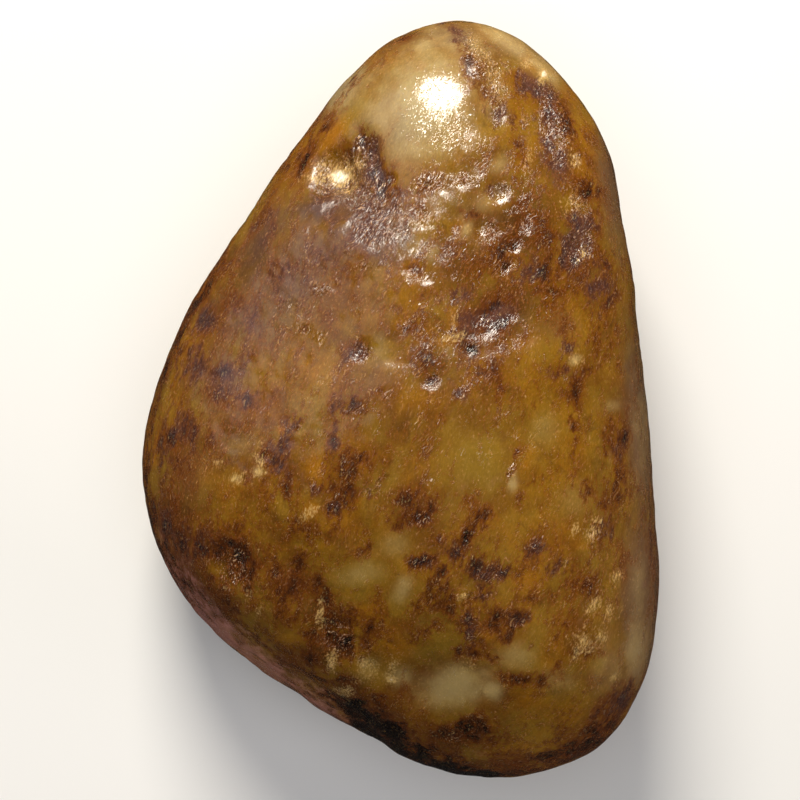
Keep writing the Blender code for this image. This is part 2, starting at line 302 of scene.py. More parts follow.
        (485, 515, 34, 24, 60, 1.0), (525, 490, 40, 24, 60, 0.5), (470, 500, 40, 20, 0, 0.5),
        (465, 535, 50, 20, 55, 0.9), (435, 545, 30, 16, 20, 0.6), (420, 562, 40, 24, 10, 0.9),
        (455, 555, 30, 24, 0, 0.8), (495, 555, 60, 40, 0, 0.7), (480, 570, 50, 30, 0, 1.0),
        (505, 575, 40, 24, 0, 0.9), (440, 570, 30, 16, 45, 0.8), (425, 590, 40, 30, 60, 0.8),
        (440, 610, 60, 50, 50, 0.9), (425, 635, 60, 30, 40, 0.4), (410, 610, 40, 26, 60, 0.45),
        (470, 600, 40, 34, 60, 0.7), (485, 600, 80, 30, 88, 1.0), (500, 630, 60, 30, 100, 0.9),
        (475, 650, 80, 30, 0, 0.8), (465, 625, 60, 24, 90, 0.9), (535, 548, 40, 26, 90, 0.7),
        (530, 600, 40, 24, 0, 0.6), (520, 615, 30, 24, 0, 0.8), (530, 645, 30, 20, 60, 0.6),
        (523, 680, 50, 20, 0, 1.0), (505, 690, 20, 10, 0, 0.5), (380, 600, 60, 30, 90, 0.6),
        (355, 610, 60, 30, 0, 0.5), (370, 630, 60, 24, 60, 0.7), (160, 540, 100, 40, 112, 1.0),
        (190, 545, 80, 60, 0, 0.9), (185, 580, 80, 34, -50, 0.9), (230, 590, 100, 60, -40, 0.8),
        (280, 600, 100, 60, -60, 0.7), (270, 650, 110, 40, -40, 0.9), (310, 580, 60, 30, 90, 0.9),
        (340, 620, 60, 50, 60, 0.9), (300, 680, 80, 24, -40, 0.8), (240, 530, 80, 30, 0, 0.7),
        (400, 680, 40, 20, 90, 0.4), (470, 710, 30, 14, 0, 0.6), (480, 730, 60, 30, 0, 0.9),
        (560, 740, 50, 30, 0, 0.5),
    ),
    "umber_and_shade": (
        # the two of strength 1.6 lie in the chip's hollow and paint its shade in part
        (368, 148, 50, 26, 100, 1.6), (372, 140, 24, 18, 0, 1.0), (377, 168, 54, 26, 95, 1.6),
        (365, 215, 90, 50, -40, 0.6), (360, 192, 40, 12, -10, 0.6), (310, 187, 30, 12, 0, 0.8),
        (304, 160, 44, 10, 66, 0.9), (352, 146, 20, 8, 30, 0.8), (345, 190, 60, 10, 12, 0.7),
        (370, 215, 70, 40, -40, 0.5), (452, 30, 40, 8, -30, 0.9), (462, 48, 34, 8, -55, 0.8),
        (468, 70, 26, 12, -80, 0.9), (480, 90, 30, 10, -50, 0.5), (500, 114, 26, 14, 60, 0.8),
        (512, 126, 22, 10, 100, 0.9), (530, 88, 44, 14, -40, 1.0), (545, 84, 24, 14, 0, 0.8),
        (550, 105, 44, 16, 90, 0.9), (548, 140, 34, 20, 90, 1.1), (556, 162, 34, 20, 80, 0.9),
        (567, 112, 34, 10, -75, 0.8), (572, 130, 20, 12, 0, 0.6), (520, 145, 16, 10, 0, 0.5),
        (490, 188, 26, 10, 100, 0.8), (522, 198, 20, 8, 60, 0.6), (475, 214, 26, 10, -10, 1.0),
        (452, 230, 14, 8, 60, 0.8), (526, 226, 18, 8, 80, 0.8), (514, 247, 24, 8, 30, 0.9),
        (506, 268, 20, 10, 40, 0.8), (500, 252, 20, 14, 0, 0.6), (590, 192, 30, 20, -60, 0.9),
        (578, 222, 30, 30, 0, 0.8), (572, 248, 40, 30, 60, 1.4), (588, 228, 30, 10, 80, 0.7),
        (598, 283, 40, 20, 80, 1.2), (605, 265, 20, 16, 0, 0.7), (545, 270, 30, 24, 60, 0.8),
        (530, 272, 20, 10, 70, 0.7), (555, 290, 24, 14, 0, 0.6), (533, 292, 30, 14, 60, 0.8),
        (608, 300, 24, 16, 60, 0.7), (458, 294, 24, 16, 70, 1.0), (415, 270, 24, 8, 0, 0.7),
        (395, 308, 34, 12, 0, 0.5), (407, 330, 30, 12, 20, 0.6), (490, 310, 60, 14, 25, 1.2),
        (500, 322, 50, 12, 30, 1.4), (470, 320, 30, 24, 45, 0.9), (465, 335, 50, 20, 20, 0.7),
        (470, 350, 20, 16, 90, 0.9), (528, 300, 24, 14, 60, 0.8), (430, 365, 50, 20, 0, 0.5),
        (361, 352, 24, 16, 20, 0.9), (432, 380, 20, 14, 30, 1.0), (458, 392, 30, 12, -30, 0.6),
        (488, 372, 30, 20, 0, 0.5), (568, 345, 24, 14, 90, 0.7), (562, 371, 24, 10, 20, 0.8),
        (588, 370, 24, 12, 0, 0.7), (576, 385, 40, 8, 95, 0.9), (572, 425, 40, 8, 95, 0.7),
        (530, 412, 30, 8, 60, 0.7), (512, 470, 24, 10, 50, 0.9), (518, 448, 40, 8, 65, 0.6),
        (624, 438, 16, 10, 20, 0.9), (605, 445, 30, 16, 70, 0.6), (610, 500, 60, 24, 70, 0.65),
        (605, 522, 40, 16, 80, 0.65), (590, 490, 30, 20, 60, 0.6), (620, 490, 30, 20, 0, 0.6),
        (625, 515, 20, 16, 0, 0.4), (205, 318, 24, 16, 60, 0.9), (196, 365, 34, 16, 70, 0.9),
        (186, 350, 24, 16, 50, 0.6), (226, 372, 26, 16, 20, 0.9), (250, 398, 20, 14, 70, 0.8),
        (186, 430, 34, 20, 60, 1.0), (170, 440, 30, 20, 60, 0.8), (162, 455, 30, 16, 80, 0.7),
        (240, 300, 40, 10, 80, 0.5), (245, 325, 26, 12, 60, 0.6), (275, 250, 24, 8, 80, 0.7),
        (275, 228, 20, 8, 90, 0.7), (282, 275, 24, 8, 60, 0.6), (215, 262, 50, 10, 55, 0.8),
        (200, 300, 60, 8, 57, 1.0), (180, 335, 50, 8, 64, 0.9), (166, 370, 50, 8, 70, 0.8),
        (296, 424, 24, 14, 60, 1.0), (302, 410, 14, 8, 60, 0.6), (262, 458, 20, 8, 60, 0.9),
        (276, 465, 44, 16, 60, 1.0), (283, 448, 24, 12, 60, 0.9), (226, 460, 16, 10, 60, 0.7),
        (248, 478, 18, 8, 70, 0.8), (286, 488, 24, 12, 80, 0.8), (335, 430, 60, 10, 86, 0.7),
        (335, 470, 50, 14, 80, 0.7), (360, 465, 30, 24, 60, 0.6), (345, 405, 40, 24, 30, 0.5),
        (331, 507, 26, 16, 60, 0.9), (318, 490, 20, 12, 0, 0.6), (350, 495, 24, 20, 60, 0.5),
        (300, 525, 16, 16, 0, 0.5), (370, 497, 26, 12, 20, 0.6), (385, 475, 20, 10, 30, 0.5),
        (145, 480, 80, 10, 88, 1.0), (150, 510, 60, 16, 100, 0.9), (165, 525, 50, 20, 110, 0.8),
        (412, 505, 30, 24, 60, 1.0), (410, 520, 34, 16, 20, 1.1), (397, 527, 20, 12, 40, 0.9),
        (430, 508, 14, 12, 60, 0.8), (485, 515, 22, 14, 70, 1.0), (464, 540, 26, 14, 60, 0.9),
        (455, 553, 24, 14, 0, 0.9), (420, 562, 30, 16, 20, 1.1), (433, 545, 16, 8, 20, 0.5),
        (478, 568, 34, 20, 0, 1.1), (500, 572, 40, 14, -10, 1.0), (442, 571, 20, 8, 50, 0.9),
        (487, 595, 24, 20, 0, 1.1), (495, 610, 24, 14, 80, 0.8), (430, 588, 30, 16, 60, 0.7),
        (440, 606, 40, 24, 60, 0.7), (430, 625, 50, 20, 40, 0.8), (415, 638, 30, 16, 30, 0.6),
        (412, 608, 20, 16, 0, 0.7), (468, 622, 40, 14, 85, 0.9), (472, 648, 50, 14, 10, 0.7),
        (495, 625, 30, 14, 80, 0.8), (505, 640, 30, 12, 50, 0.8), (480, 655, 50, 10, -10, 0.9),
        (520, 616, 20, 14, 0, 1.0), (534, 550, 20, 12, 0, 0.8), (522, 555, 16, 12, 80, 0.6),
        (553, 568, 30, 14, 50, 0.9), (565, 600, 20, 10, 90, 0.5), (590, 590, 26, 20, 0, 0.6),
        (575, 652, 16, 10, 0, 0.7), (593, 656, 20, 10, 0, 0.6), (530, 647, 20, 10, 70, 0.8),
        (557, 664, 24, 10, -60, 0.7), (563, 678, 20, 8, 90, 0.6), (523, 681, 44, 14, -6, 1.2),
        (620, 698, 50, 24, 50, 0.8), (600, 728, 60, 20, 40, 0.9), (560, 752, 90, 20, 18, 1.0),
        (590, 745, 60, 16, 34, 1.0), (640, 660, 60, 10, 75, 0.2), (230, 548, 60, 22, -10, 1.2),
        (245, 556, 50, 20, -30, 1.2), (210, 552, 50, 16, 0, 1.0), (250, 578, 40, 20, 80, 1.2),
        (212, 578, 14, 10, 0, 1.1), (185, 545, 80, 50, 10, 0.5), (172, 562, 90, 40, -60, 0.5),
        (200, 590, 90, 40, -50, 0.3), (232, 605, 34, 24, 0, 0.6), (296, 568, 40, 20, 70, 1.2),
        (293, 590, 40, 20, 90, 1.2), (325, 595, 46, 14, 105, 1.2), (318, 604, 44, 20, 100, 0.9),
        (310, 635, 30, 16, 0, 0.9), (330, 640, 50, 20, -10, 1.3), (312, 655, 60, 16, 95, 1.3),
        (340, 680, 60, 20, -10, 1.2), (350, 655, 40, 24, 60, 0.8), (358, 690, 40, 24, -60, 1.2),
        # from (362, 714) to (475, 775) the marks of strength near 3 paint the foot black: dark skin, with
        # painted shade where the stone curves under
        (345, 615, 60, 34, 60, 0.6), (368, 632, 34, 10, 80, 0.7), (362, 714, 80, 30, -32, 3.0),
        (395, 732, 80, 30, -35, 3.0), (412, 750, 110, 34, -28, 2.9), (375, 737, 80, 22, -38, 2.8),
        (440, 764, 100, 28, -17, 2.8), (475, 775, 100, 20, -8, 3.0), (460, 725, 60, 22, 0, 1.3),
        (440, 735, 50, 14, 20, 1.1), (480, 740, 70, 20, -8, 1.0), (500, 758, 100, 20, 0, 0.8),
        (520, 772, 90, 12, 4, 1.1), (405, 682, 30, 12, 90, 0.5), (375, 700, 40, 24, -30, 0.9),
        (412, 700, 16, 10, 90, 0.6),
    ),
    "mauve": (
        (372, 170, 70, 34, 95, 1.0), (365, 218, 110, 66, -40, 1.6), (330, 205, 60, 30, 0, 1.0),
        (320, 250, 80, 60, 0, 0.6), (350, 240, 80, 50, 0, 0.6), (400, 200, 30, 24, 0, 0.4),
        (455, 32, 40, 20, -25, 0.8), (500, 115, 34, 26, 0, 0.9), (535, 88, 60, 30, -40, 0.9),
        (548, 140, 60, 34, 90, 0.8), (560, 165, 50, 34, 70, 0.8), (550, 110, 50, 24, 90, 0.7),
        (578, 235, 80, 40, 80, 0.9), (598, 285, 60, 34, 80, 0.8), (495, 318, 80, 24, 28, 0.9),
        (470, 320, 50, 40, 0, 0.7), (498, 188, 30, 20, 0, 0.7), (530, 270, 50, 30, 60, 0.6),
        (460, 296, 40, 30, 0, 0.6), (205, 318, 50, 30, 60, 0.7), (195, 368, 60, 40, 70, 0.8),
        (228, 375, 60, 40, 20, 0.8), (245, 320, 60, 50, 0, 0.6), (290, 285, 80, 50, -20, 0.7),
        (185, 430, 60, 50, 60, 0.54), (165, 450, 50, 34, 80, 0.42), (250, 398, 30, 24, 0, 0.42),
        (280, 460, 60, 34, 70, 0.48), (265, 238, 110, 44, 58, 0.6), (316, 492, 40, 20, 0, 0.42),
        (333, 508, 30, 24, 0, 0.42), (368, 490, 40, 20, 20, 0.42), (363, 352, 30, 24, 0, 0.6),
        (434, 382, 30, 20, 0, 0.6), (458, 394, 50, 20, -30, 0.5), (570, 350, 30, 34, 90, 0.5),
        (565, 372, 50, 20, 0, 0.5), (415, 515, 50, 40, 0, 0.18), (455, 552, 40, 24, 0, 0.42),
        (485, 575, 60, 30, 0, 0.48), (488, 597, 34, 26, 0, 0.54), (470, 630, 60, 24, 90, 0.48),
        (435, 545, 40, 20, 0, 0.36), (420, 562, 40, 24, 0, 0.3), (535, 548, 34, 24, 0, 0.48),
        (520, 618, 30, 24, 0, 0.36), (555, 570, 40, 26, 60, 0.42), (605, 525, 40, 24, 85, 0.42),
        (620, 445, 60, 34, 80, 0.36), (648, 540, 200, 24, 90, 0.3), (640, 430, 120, 20, 94, 0.21),
        (640, 650, 100, 24, 78, 0.24), (620, 700, 60, 34, 50, 0.48), (190, 545, 90, 50, 0, 0.36),
        (165, 525, 60, 24, 110, 0.48),
    ),
    # mauve-grey tint on the left shoulder and right rim: partly dull skin, partly a painted sheen of
    # reflected room light
    "haze_and_sheen": (
        (275, 290, 210, 110, 60, 0.9), (330, 250, 110, 70, 40, 0.8), (220, 380, 120, 80, 70, 0.8),
        (230, 420, 100, 50, 20, 0.3), (190, 470, 90, 60, 80, 0.5), (642, 430, 240, 40, 94, 1.2),
        (643, 600, 220, 48, 88, 1.3), (300, 210, 60, 40, 60, 0.6), (612, 190, 170, 34, 99, 1.0),
        (560, 325, 60, 50, 0, 0.5), (262, 245, 130, 50, 58, 0.8),
    ),
    "wine": (
        (210, 548, 120, 56, -8, 1.0), (192, 590, 130, 70, -55, 1.3), (172, 520, 80, 60, 100, 0.8),
        (165, 560, 70, 30, -60, 0.8), (245, 562, 60, 50, 0, 0.9), (215, 590, 70, 50, -40, 0.5),
        (296, 580, 40, 60, 90, 0.7), (322, 610, 60, 60, 90, 0.9), (325, 650, 60, 50, 0, 1.0),
        (322, 200, 90, 44, 40, 0.8), (350, 690, 60, 40, -40, 0.9), (390, 725, 90, 40, -38, 1.0),
        (455, 738, 110, 40, 4, 0.9), (500, 765, 120, 24, 2, 0.7), (615, 700, 70, 30, 50, 0.7),
        (585, 745, 90, 24, 30, 0.8), (605, 515, 60, 60, 80, 0.2), (610, 445, 60, 40, 80, 0.4),
        (445, 612, 70, 60, 50, 0.5), (418, 515, 60, 50, 30, 0.5), (485, 575, 70, 44, 0, 0.5),
        (470, 545, 40, 30, 50, 0.5), (480, 625, 50, 70, 90, 0.5), (570, 590, 100, 60, 0, 0.45),
        (345, 480, 40, 100, 0, 0.35), (290, 470, 60, 50, 60, 0.4), (190, 440, 60, 60, 70, 0.5),
        (205, 320, 60, 50, 60, 0.4), (210, 370, 80, 40, 20, 0.4), (552, 110, 44, 90, 10, 0.8),
        (560, 165, 50, 40, 70, 0.6), (582, 245, 50, 100, 4, 0.8), (530, 225, 90, 90, 0, 0.95),
        (505, 310, 130, 80, 24, 1.0), (440, 365, 80, 40, 0, 0.6), (465, 262, 110, 70, 20, 0.75),
        (400, 240, 50, 40, 0, 0.6), (590, 240, 60, 90, 8, 0.5), (250, 262, 130, 40, 58, 0.7),
        (372, 160, 40, 60, 0, 0.7), (355, 215, 90, 60, -40, 0.5), (305, 160, 50, 16, 60, 0.8),
        (225, 262, 80, 20, 56, 0.8), (195, 310, 70, 16, 58, 0.9), (165, 380, 90, 14, 70, 0.8),
        (400, 430, 60, 40, 0, 0.3), (365, 395, 60, 30, 20, 0.4), (560, 372, 60, 60, 0, 0.35),
    ),
    # painted pink reflection along the steep lower left rim
    "rose_reflection": (
        (186, 592, 130, 58, -56, 1.25), (222, 642, 150, 48, -42, 1.25), (270, 677, 150, 46, -35, 1.2),
        (314, 704, 120, 34, -31, 1.1),
    ),
    # golden spots, in part painted glints and the lit facet of a chip; the strongest get painted cream
    # highlights
    "gold_and_glint": (
        (500, 33, 90, 14, -32, 0.55), (540, 62, 50, 14, -48, 0.55), (480, 50, 60, 10, -50, 0.6),
        (495, 85, 50, 12, -62, 0.6), (338, 173, 30, 17, 16, 1.9), (334, 172, 54, 30, 10, 0.62),
        (322, 165, 34, 18, 30, 0.7), (350, 166, 39, 15, 30, 0.81), (315, 178, 27, 10, 0, 0.99),
        (345, 186, 33, 14, 20, 0.63), (544, 74, 15, 10, 80, 2.0), (528, 64, 15, 12, 0, 0.81),
        (572, 200, 36, 21, 80, 0.54), (578, 205, 21, 12, 0, 0.72), (575, 160, 36, 15, -60, 0.63),
        (530, 155, 30, 10, 80, 0.6), (585, 252, 24, 12, 70, 0.63), (575, 360, 18, 18, 0, 0.81),
        (450, 338, 36, 12, 10, 0.72), (455, 318, 30, 8, 85, 0.5), (261, 462, 18, 12, 60, 0.9),
        (260, 472, 18, 15, 0, 0.9), (237, 478, 21, 12, 20, 0.81), (218, 462, 12, 9, 0, 0.63),
        (254, 455, 12, 6, 0, 0.63), (260, 445, 12, 8, 60, 0.54), (311, 512, 27, 12, 40, 0.9),
        (320, 615, 39, 10, 86, 0.81), (332, 662, 30, 14, 100, 0.9), (347, 692, 24, 15, 0, 0.81),
        (335, 690, 12, 12, 0, 0.63), (258, 612, 18, 9, 70, 0.81), (248, 598, 21, 12, 60, 0.45),
        (365, 665, 30, 18, 20, 0.72), (393, 667, 24, 12, 80, 0.81), (391, 679, 14, 9, -30, 1.9),
        (365, 675, 36, 24, 0, 0.45), (595, 606, 24, 18, 60, 0.9), (608, 613, 24, 15, 70, 0.81),
        (583, 643, 36, 21, 60, 0.9), (602, 638, 21, 15, 0, 0.81), (617, 577, 18, 9, 50, 0.81),
        (613, 676, 9, 9, 0, 0.81), (575, 640, 21, 15, 0, 0.54), (590, 650, 21, 12, 0, 0.63),
        (600, 625, 30, 21, 0, 0.36), (577, 528, 18, 12, 70, 0.72), (592, 533, 24, 15, 60, 0.72),
        (597, 520, 15, 9, 0, 0.72), (472, 667, 15, 9, 0, 0.72), (490, 692, 21, 15, 0, 0.54),
        (468, 665, 21, 12, 40, 0.45), (565, 563, 15, 6, 60, 0.54), (463, 597, 18, 9, 30, 0.81),
        (467, 229, 18, 12, 40, 0.54),
    ),
    "rough": (
        (300, 260, 190, 120, 50, 0.3), (380, 300, 160, 120, 0, 0.15), (440, 400, 140, 120, 0, 0.13),
        (530, 440, 90, 120, 0, 0.22), (530, 150, 90, 120, 0, 0.3), (484, 66, 90, 26, -60, 1.0),
        (498, 108, 46, 24, -84, 1.0), (454, 181, 76, 20, -6, 0.9), (424, 184, 30, 26, 30, 0.8),
        (376, 218, 80, 60, -36, 1.0), (372, 172, 50, 30, 85, 0.6), (337, 174, 60, 34, 16, 0.9),
        (355, 152, 12, 12, 0, 1.0), (498, 188, 26, 24, 60, 1.0), (490, 230, 34, 24, -30, 1.0),
        (455, 230, 16, 12, 40, 0.8), (422, 218, 30, 30, 0, 0.8), (526, 226, 24, 14, 70, 1.0),
        (525, 200, 20, 14, 0, 0.8), (512, 210, 24, 12, 20, 0.8), (515, 245, 28, 12, 30, 1.0),
        (506, 268, 24, 16, 30, 1.0), (420, 276, 34, 18, 6, 1.0), (456, 278, 16, 14, 40, 0.8),
        (412, 252, 16, 16, 60, 0.6), (368, 266, 40, 16, 0, 0.7), (348, 252, 20, 16, 0, 0.6),
        (385, 240, 40, 20, 0, 0.6), (552, 118, 90, 34, 98, 1.0), (545, 88, 24, 24, 0, 1.0),
        (560, 160, 30, 24, 0, 0.7), (578, 160, 24, 12, -70, 0.8), (590, 215, 50, 14, 95, 0.9),
        (588, 232, 30, 16, 90, 0.9), (572, 250, 40, 34, 60, 0.6), (598, 280, 34, 16, 85, 0.7),
        (500, 322, 60, 24, 30, 0.42), (490, 338, 60, 20, 0, 0.42), (531, 306, 24, 14, 30, 0.6),
        (450, 335, 34, 24, 0, 0.48), (403, 328, 44, 20, 20, 0.54), (390, 308, 34, 16, 10, 0.36),
        (424, 346, 24, 10, 0, 0.48), (470, 350, 24, 24, 0, 0.48), (362, 354, 30, 26, 40, 0.54),
        (390, 395, 24, 20, 60, 0.48), (434, 382, 26, 18, 20, 0.6), (462, 396, 50, 20, -30, 0.48),
        (475, 412, 20, 14, 0, 0.42), (485, 370, 40, 40, 0, 0.36), (555, 350, 30, 14, 70, 0.36),
        (564, 378, 16, 12, 0, 0.9), (517, 434, 26, 20, 60, 0.9), (512, 470, 24, 12, 50, 0.8),
        (533, 450, 24, 12, 70, 0.7), (345, 412, 50, 14, 0, 0.42), (322, 434, 12, 8, -20, 1.0),
        (298, 428, 12, 8, 0, 0.9), (316, 334, 50, 14, -25, 0.9), (325, 345, 30, 14, -30, 0.7),
        (292, 305, 16, 12, -40, 0.9), (320, 290, 30, 20, 0, 0.6), (310, 230, 30, 14, 0, 0.6),
        (330, 232, 40, 20, 0, 0.4), (370, 492, 34, 12, 10, 1.0), (377, 508, 12, 8, 0, 1.0),
        (387, 475, 14, 10, 30, 0.9), (377, 481, 14, 8, 20, 0.8), (333, 507, 20, 14, 20, 0.8),
        (316, 490, 24, 12, 0, 0.6), (262, 460, 30, 24, 60, 0.5), (415, 515, 30, 30, 0, 0.6),
        (420, 562, 24, 18, 0, 0.7), (435, 545, 20, 14, 0, 0.6), (457, 553, 20, 14, 0, 0.7),
        (466, 596, 24, 16, 30, 1.0), (488, 597, 20, 20, 0, 0.7), (470, 630, 50, 24, 90, 0.8),
        (490, 575, 50, 24, 0, 0.6), (535, 546, 20, 20, 0, 0.8), (565, 562, 12, 8, 60, 1.0),
        (564, 606, 16, 10, 80, 0.9), (517, 626, 20, 8, 25, 0.9), (523, 678, 24, 10, 0, 0.7),
        (472, 666, 20, 12, 20, 0.8), (590, 530, 40, 30, 0, 0.7), (600, 585, 50, 34, 0, 0.5),
        (590, 630, 50, 50, 0, 0.5), (360, 655, 30, 30, 0, 0.6), (392, 675, 20, 14, 80, 0.9),
        (335, 662, 30, 24, 90, 0.6), (232, 590, 50, 40, -30, 0.4), (452, 740, 30, 14, 0, 0.5),
        (544, 74, 12, 10, 80, 1.0), (528, 64, 10, 10, 0, 0.8), (430, 125, 80, 60, 0, 0.3),
    ),
}

# Marks on the side that faces down, scattered at random: how many of each kind, length and width (mm)
SCATTER = {
    "window": (9, (4.0, 12.0), (3.0, 8.0)),
    "olive": (10, (6.0, 14.0), (4.0, 9.0)),
    "amber": (22, (2.0, 8.0), (1.6, 5.0)),
    "russet": (34, (2.5, 11.0), (1.2, 5.0)),
    "umber_and_shade": (46, (1.5, 9.0), (0.8, 3.6)),
    "mauve": (14, (2.0, 7.0), (1.5, 4.0)),
    "haze_and_sheen": (6, (8.0, 18.0), (6.0, 10.0)),
    "wine": (8, (5.0, 12.0), (3.0, 7.0)),
    "gold_and_glint": (16, (0.8, 2.4), (0.6, 1.8)),
    "rough": (30, (2.0, 9.0), (1.5, 5.0)),
}
SCATTER_SEED = 23
SCATTER_SLOPE = -0.05  # the scattered marks have their middles where Z of the normal is below this
SCATTER_STRENGTH = (0.6, 1.0)
SCATTER_TURN = math.radians(56)  # most streaks run this way
SCATTER_TURN_SPREAD = 0.5  # radians

MARK_FALL = 1.4  # how fast a mark dies away from its middle
MARK_EDGES = ((1.0, 1.5, 0.0), (0.8, 0.7, 40.0))  # waves of a mark's edge
MARK_WARP = 0.40  # how far its edge strays, as a share of its size
# pearl and haze are in part a painted sheen
SOFT_KINDS = ("polish", "window", "pearl_and_sheen", "olive", "amber", "haze_and_sheen", "wine")
SOFT_WARP = 0.4  # of the usual straying, for these: they are tints in the depth, with smoother edges
BORDER_WAVE = (0.3, 3.5, 60.0)  # wave of the border down the flanks, where the placed marks end
BORDER = (-0.24, 0.05)  # Z of the normal where they start and are full
ROSE_REFLECTION_WAVE = (0.2, 2.0, 70.0)  # and the same for the rosy rim, a painted pink reflection which lies on the steep flank alone
ROSE_REFLECTION_STARTS = (0.0, 0.20)
ROSE_REFLECTION_ENDS = (0.40, 0.85)


def linear(red, green, blue):
    """A screen colour, 0 to 255, as the shader's linear colour."""
    shares = [c / 255 for c in (red, green, blue)]
    return [c / 12.92 if c <= 0.04045 else ((c + 0.055) / 1.055) ** 2.4 for c in shares]


HONEY = linear(135, 93, 20)
BROWN = linear(108, 67, 18)
CLEAR = linear(136, 103, 31)
MILK = linear(178, 152, 98)
# partly milky stone, partly a painted soft sheen
PEARL_AND_SHEEN = linear(180, 166, 126)
OLIVE = linear(136, 106, 32)
AMBER = linear(164, 104, 16)
MAUVE = linear(86, 62, 60)
# partly dull skin, partly a painted sheen of reflected light
HAZE_AND_SHEEN = linear(110, 80, 57)
WINE = linear(66, 31, 16)
# pink of the painted reflection on the lower left rim
ROSE_REFLECTION = linear(222, 152, 140)
# golden spots, in part painted glints
GOLD_AND_GLINT = linear(200, 164, 100)
CREAM_HIGHLIGHT = linear(252, 240, 208)  # painted highlight: hot cores of the lit chip facet and of glints, in the middle of the gold
RUST = linear(114, 61, 14)
RUSSET = linear(90, 43, 15)
UMBER = linear(60, 29, 13)
# near black: the darkest stains, and painted shade at the foot and in a chip's hollow
PITCH_AND_SHADE = linear(15, 10, 8)
THREAD_AND_GLINT = linear(206, 170, 140)  # pale fibres of the rough skin, in part painted glints
FLECK_AND_GLINT = linear(222, 174, 96)  # golden flecks all over, in part painted glints

# Patterns of the material: size of the swells (mm), detail, roughness, distortion
BROAD_PATTERNS = {
    "cloud": (8.0, 3.0, 0.55, 0.8),
    "veil": (3.0, 4.0, 0.6, 0.6),
}
GRAIN_PATTERNS = {  # these run along the grain
    "flock": (4.0, 3.0, 0.6, 0.4),
    "curd": (1.5, 6.0, 0.66, 0.4),
    "speck": (0.5, 4.0, 0.74, 0.0),
    "grain": (0.17, 2.0, 0.6, 0.0),
}
GRAIN_TURN = math.radians(74)
GRAIN_STRETCH = 1.8
SHADE_PATTERN = (4.4, 3.0, 0.6, 0.5)
SHADE_SWIRL = (5.0, 9.0)  # size of the curls and how far they pull, in millimetres
THREAD_PATTERN = (0.16, 1.0, 0.5, 0.0)
THREAD_SWIRL = (2.0, 1.8)
COMMON = (0.30, 0.70)  # most values of a pattern lie between these

# Tints of the body: pattern, where it starts and is full, share, tint
BODY_TINTS = (
    ("cloud", 0.36, 0.66, 1.0, BROWN),
    ("veil", 0.45, 0.70, 0.24, AMBER),
    ("flock", 0.55, 0.35, 0.60, CLEAR),
    ("shade", 0.52, 0.66, 0.30, OLIVE),
    ("shade", 0.47, 0.34, 0.34, WINE),
)
# Marks in its depth (pearl and haze in part painted sheen, rose a painted reflection): how far
# blotches break them up, where each starts and is full, share, tint
DEEP_MARKS = (
    ("olive", 0.5, 0.02, 0.98, 0.65, OLIVE),
    # partly dull skin, partly painted sheen
    ("haze_and_sheen", 0.9, 0.02, 0.98, 0.80, HAZE_AND_SHEEN),
    ("amber", 0.4, 0.02, 0.98, 0.70, AMBER),
    ("wine", 0.4, 0.02, 0.98, 0.78, WINE),
    ("window", 0.7, 0.02, 0.98, 0.90, MILK),
    # partly milky stone, partly painted sheen
    ("pearl_and_sheen", 0.4, 0.02, 0.98, 0.55, PEARL_AND_SHEEN),
    # the painted rose reflection, not a tint in the depth
    ("rose_reflection", -2.0, 0.10, 1.20, 0.54, ROSE_REFLECTION),
)
# The stain is one amount that goes from rust over russet to umber, so dark marks have warm rims.
STAIN_BASE = 0.06
STAIN_SHARES = (  # what a mark of each kind adds to it
    ("russet", 0.40),
    ("umber_and_shade", 0.56),
    ("window", -0.50),
    ("olive", -0.16),
    ("amber", -0.10),
    # the painted rose reflection lightens the stain under it
    ("rose_reflection", -0.16),
)
MOTTLE = (("flock", 0.19), ("curd", 0.33), ("speck", 0.28), ("grain", 0.18))  # pattern, spread
MOTTLE_ON_CLEAN = 0.72  # how much of the mottle counts on clean skin
MOTTLE_WITH_STAIN = 0.7  # and how much more with a stain of 1
STAIN_TINTS = (  # where each tint starts and is full, its share, the tint
    (-0.02, 0.36, 0.60, RUST),
    (0.20, 0.62, 0.70, RUSSET),
    (0.46, 0.96, 0.80, UMBER),
    # near black, which also paints the shade of the foot and of a chip's hollow
    (0.90, 1.30, 0.92, PITCH_AND_SHADE),
)
# Crusts on top: the two patterns that break them up and how far, where each starts and is full, share
CRUSTS = (
    ("mauve", ("curd", "speck"), 0.9, 0.55, 1.35, 0.50, MAUVE),
    # the gold is in part painted glints and a lit facet
    ("gold_and_glint", ("speck", "grain"), 1.9, 1.15, 2.15, 0.80, GOLD_AND_GLINT),
)
CREAM_HIGHLIGHT_AMOUNT = (1.2, 1.9)  # of gold, where the cream of the painted highlights starts and is full
CREAM_HIGHLIGHT_SHARE = 0.9

# Rough skin, and how grainy the skin is: that fades in clear stone
ROUGH_BREAK = (0.8, 0.15, 0.75)  # how far the curd breaks it up, where it starts and is full
CLEAR_FROM_OLIVE = 0.6  # an olive mark makes the stone this clear, against 1 for a window
GRAINY = (-0.1, 0.5, 0.40, 1.0)  # the stain where it starts and is full, and the amount at both
GRAINY_LOST_TO_CLEAR = 0.75
THREADS = (0.58, 0.74)  # where the pale fibres, in part painted glints, start and are full
THREAD_SHARE = (0.45, 0.10)  # on rough skin, and all over
FLECKS = (0.60, 0.72)
FLECK_SHARE = (0.48, 0.66, 0.0, 0.24)  # from the curd, in the words of GRAINY
FINE_LIGHT = (("grain", 0.30), ("thread", 0.12))  # pattern, and how far it lightens and darkens

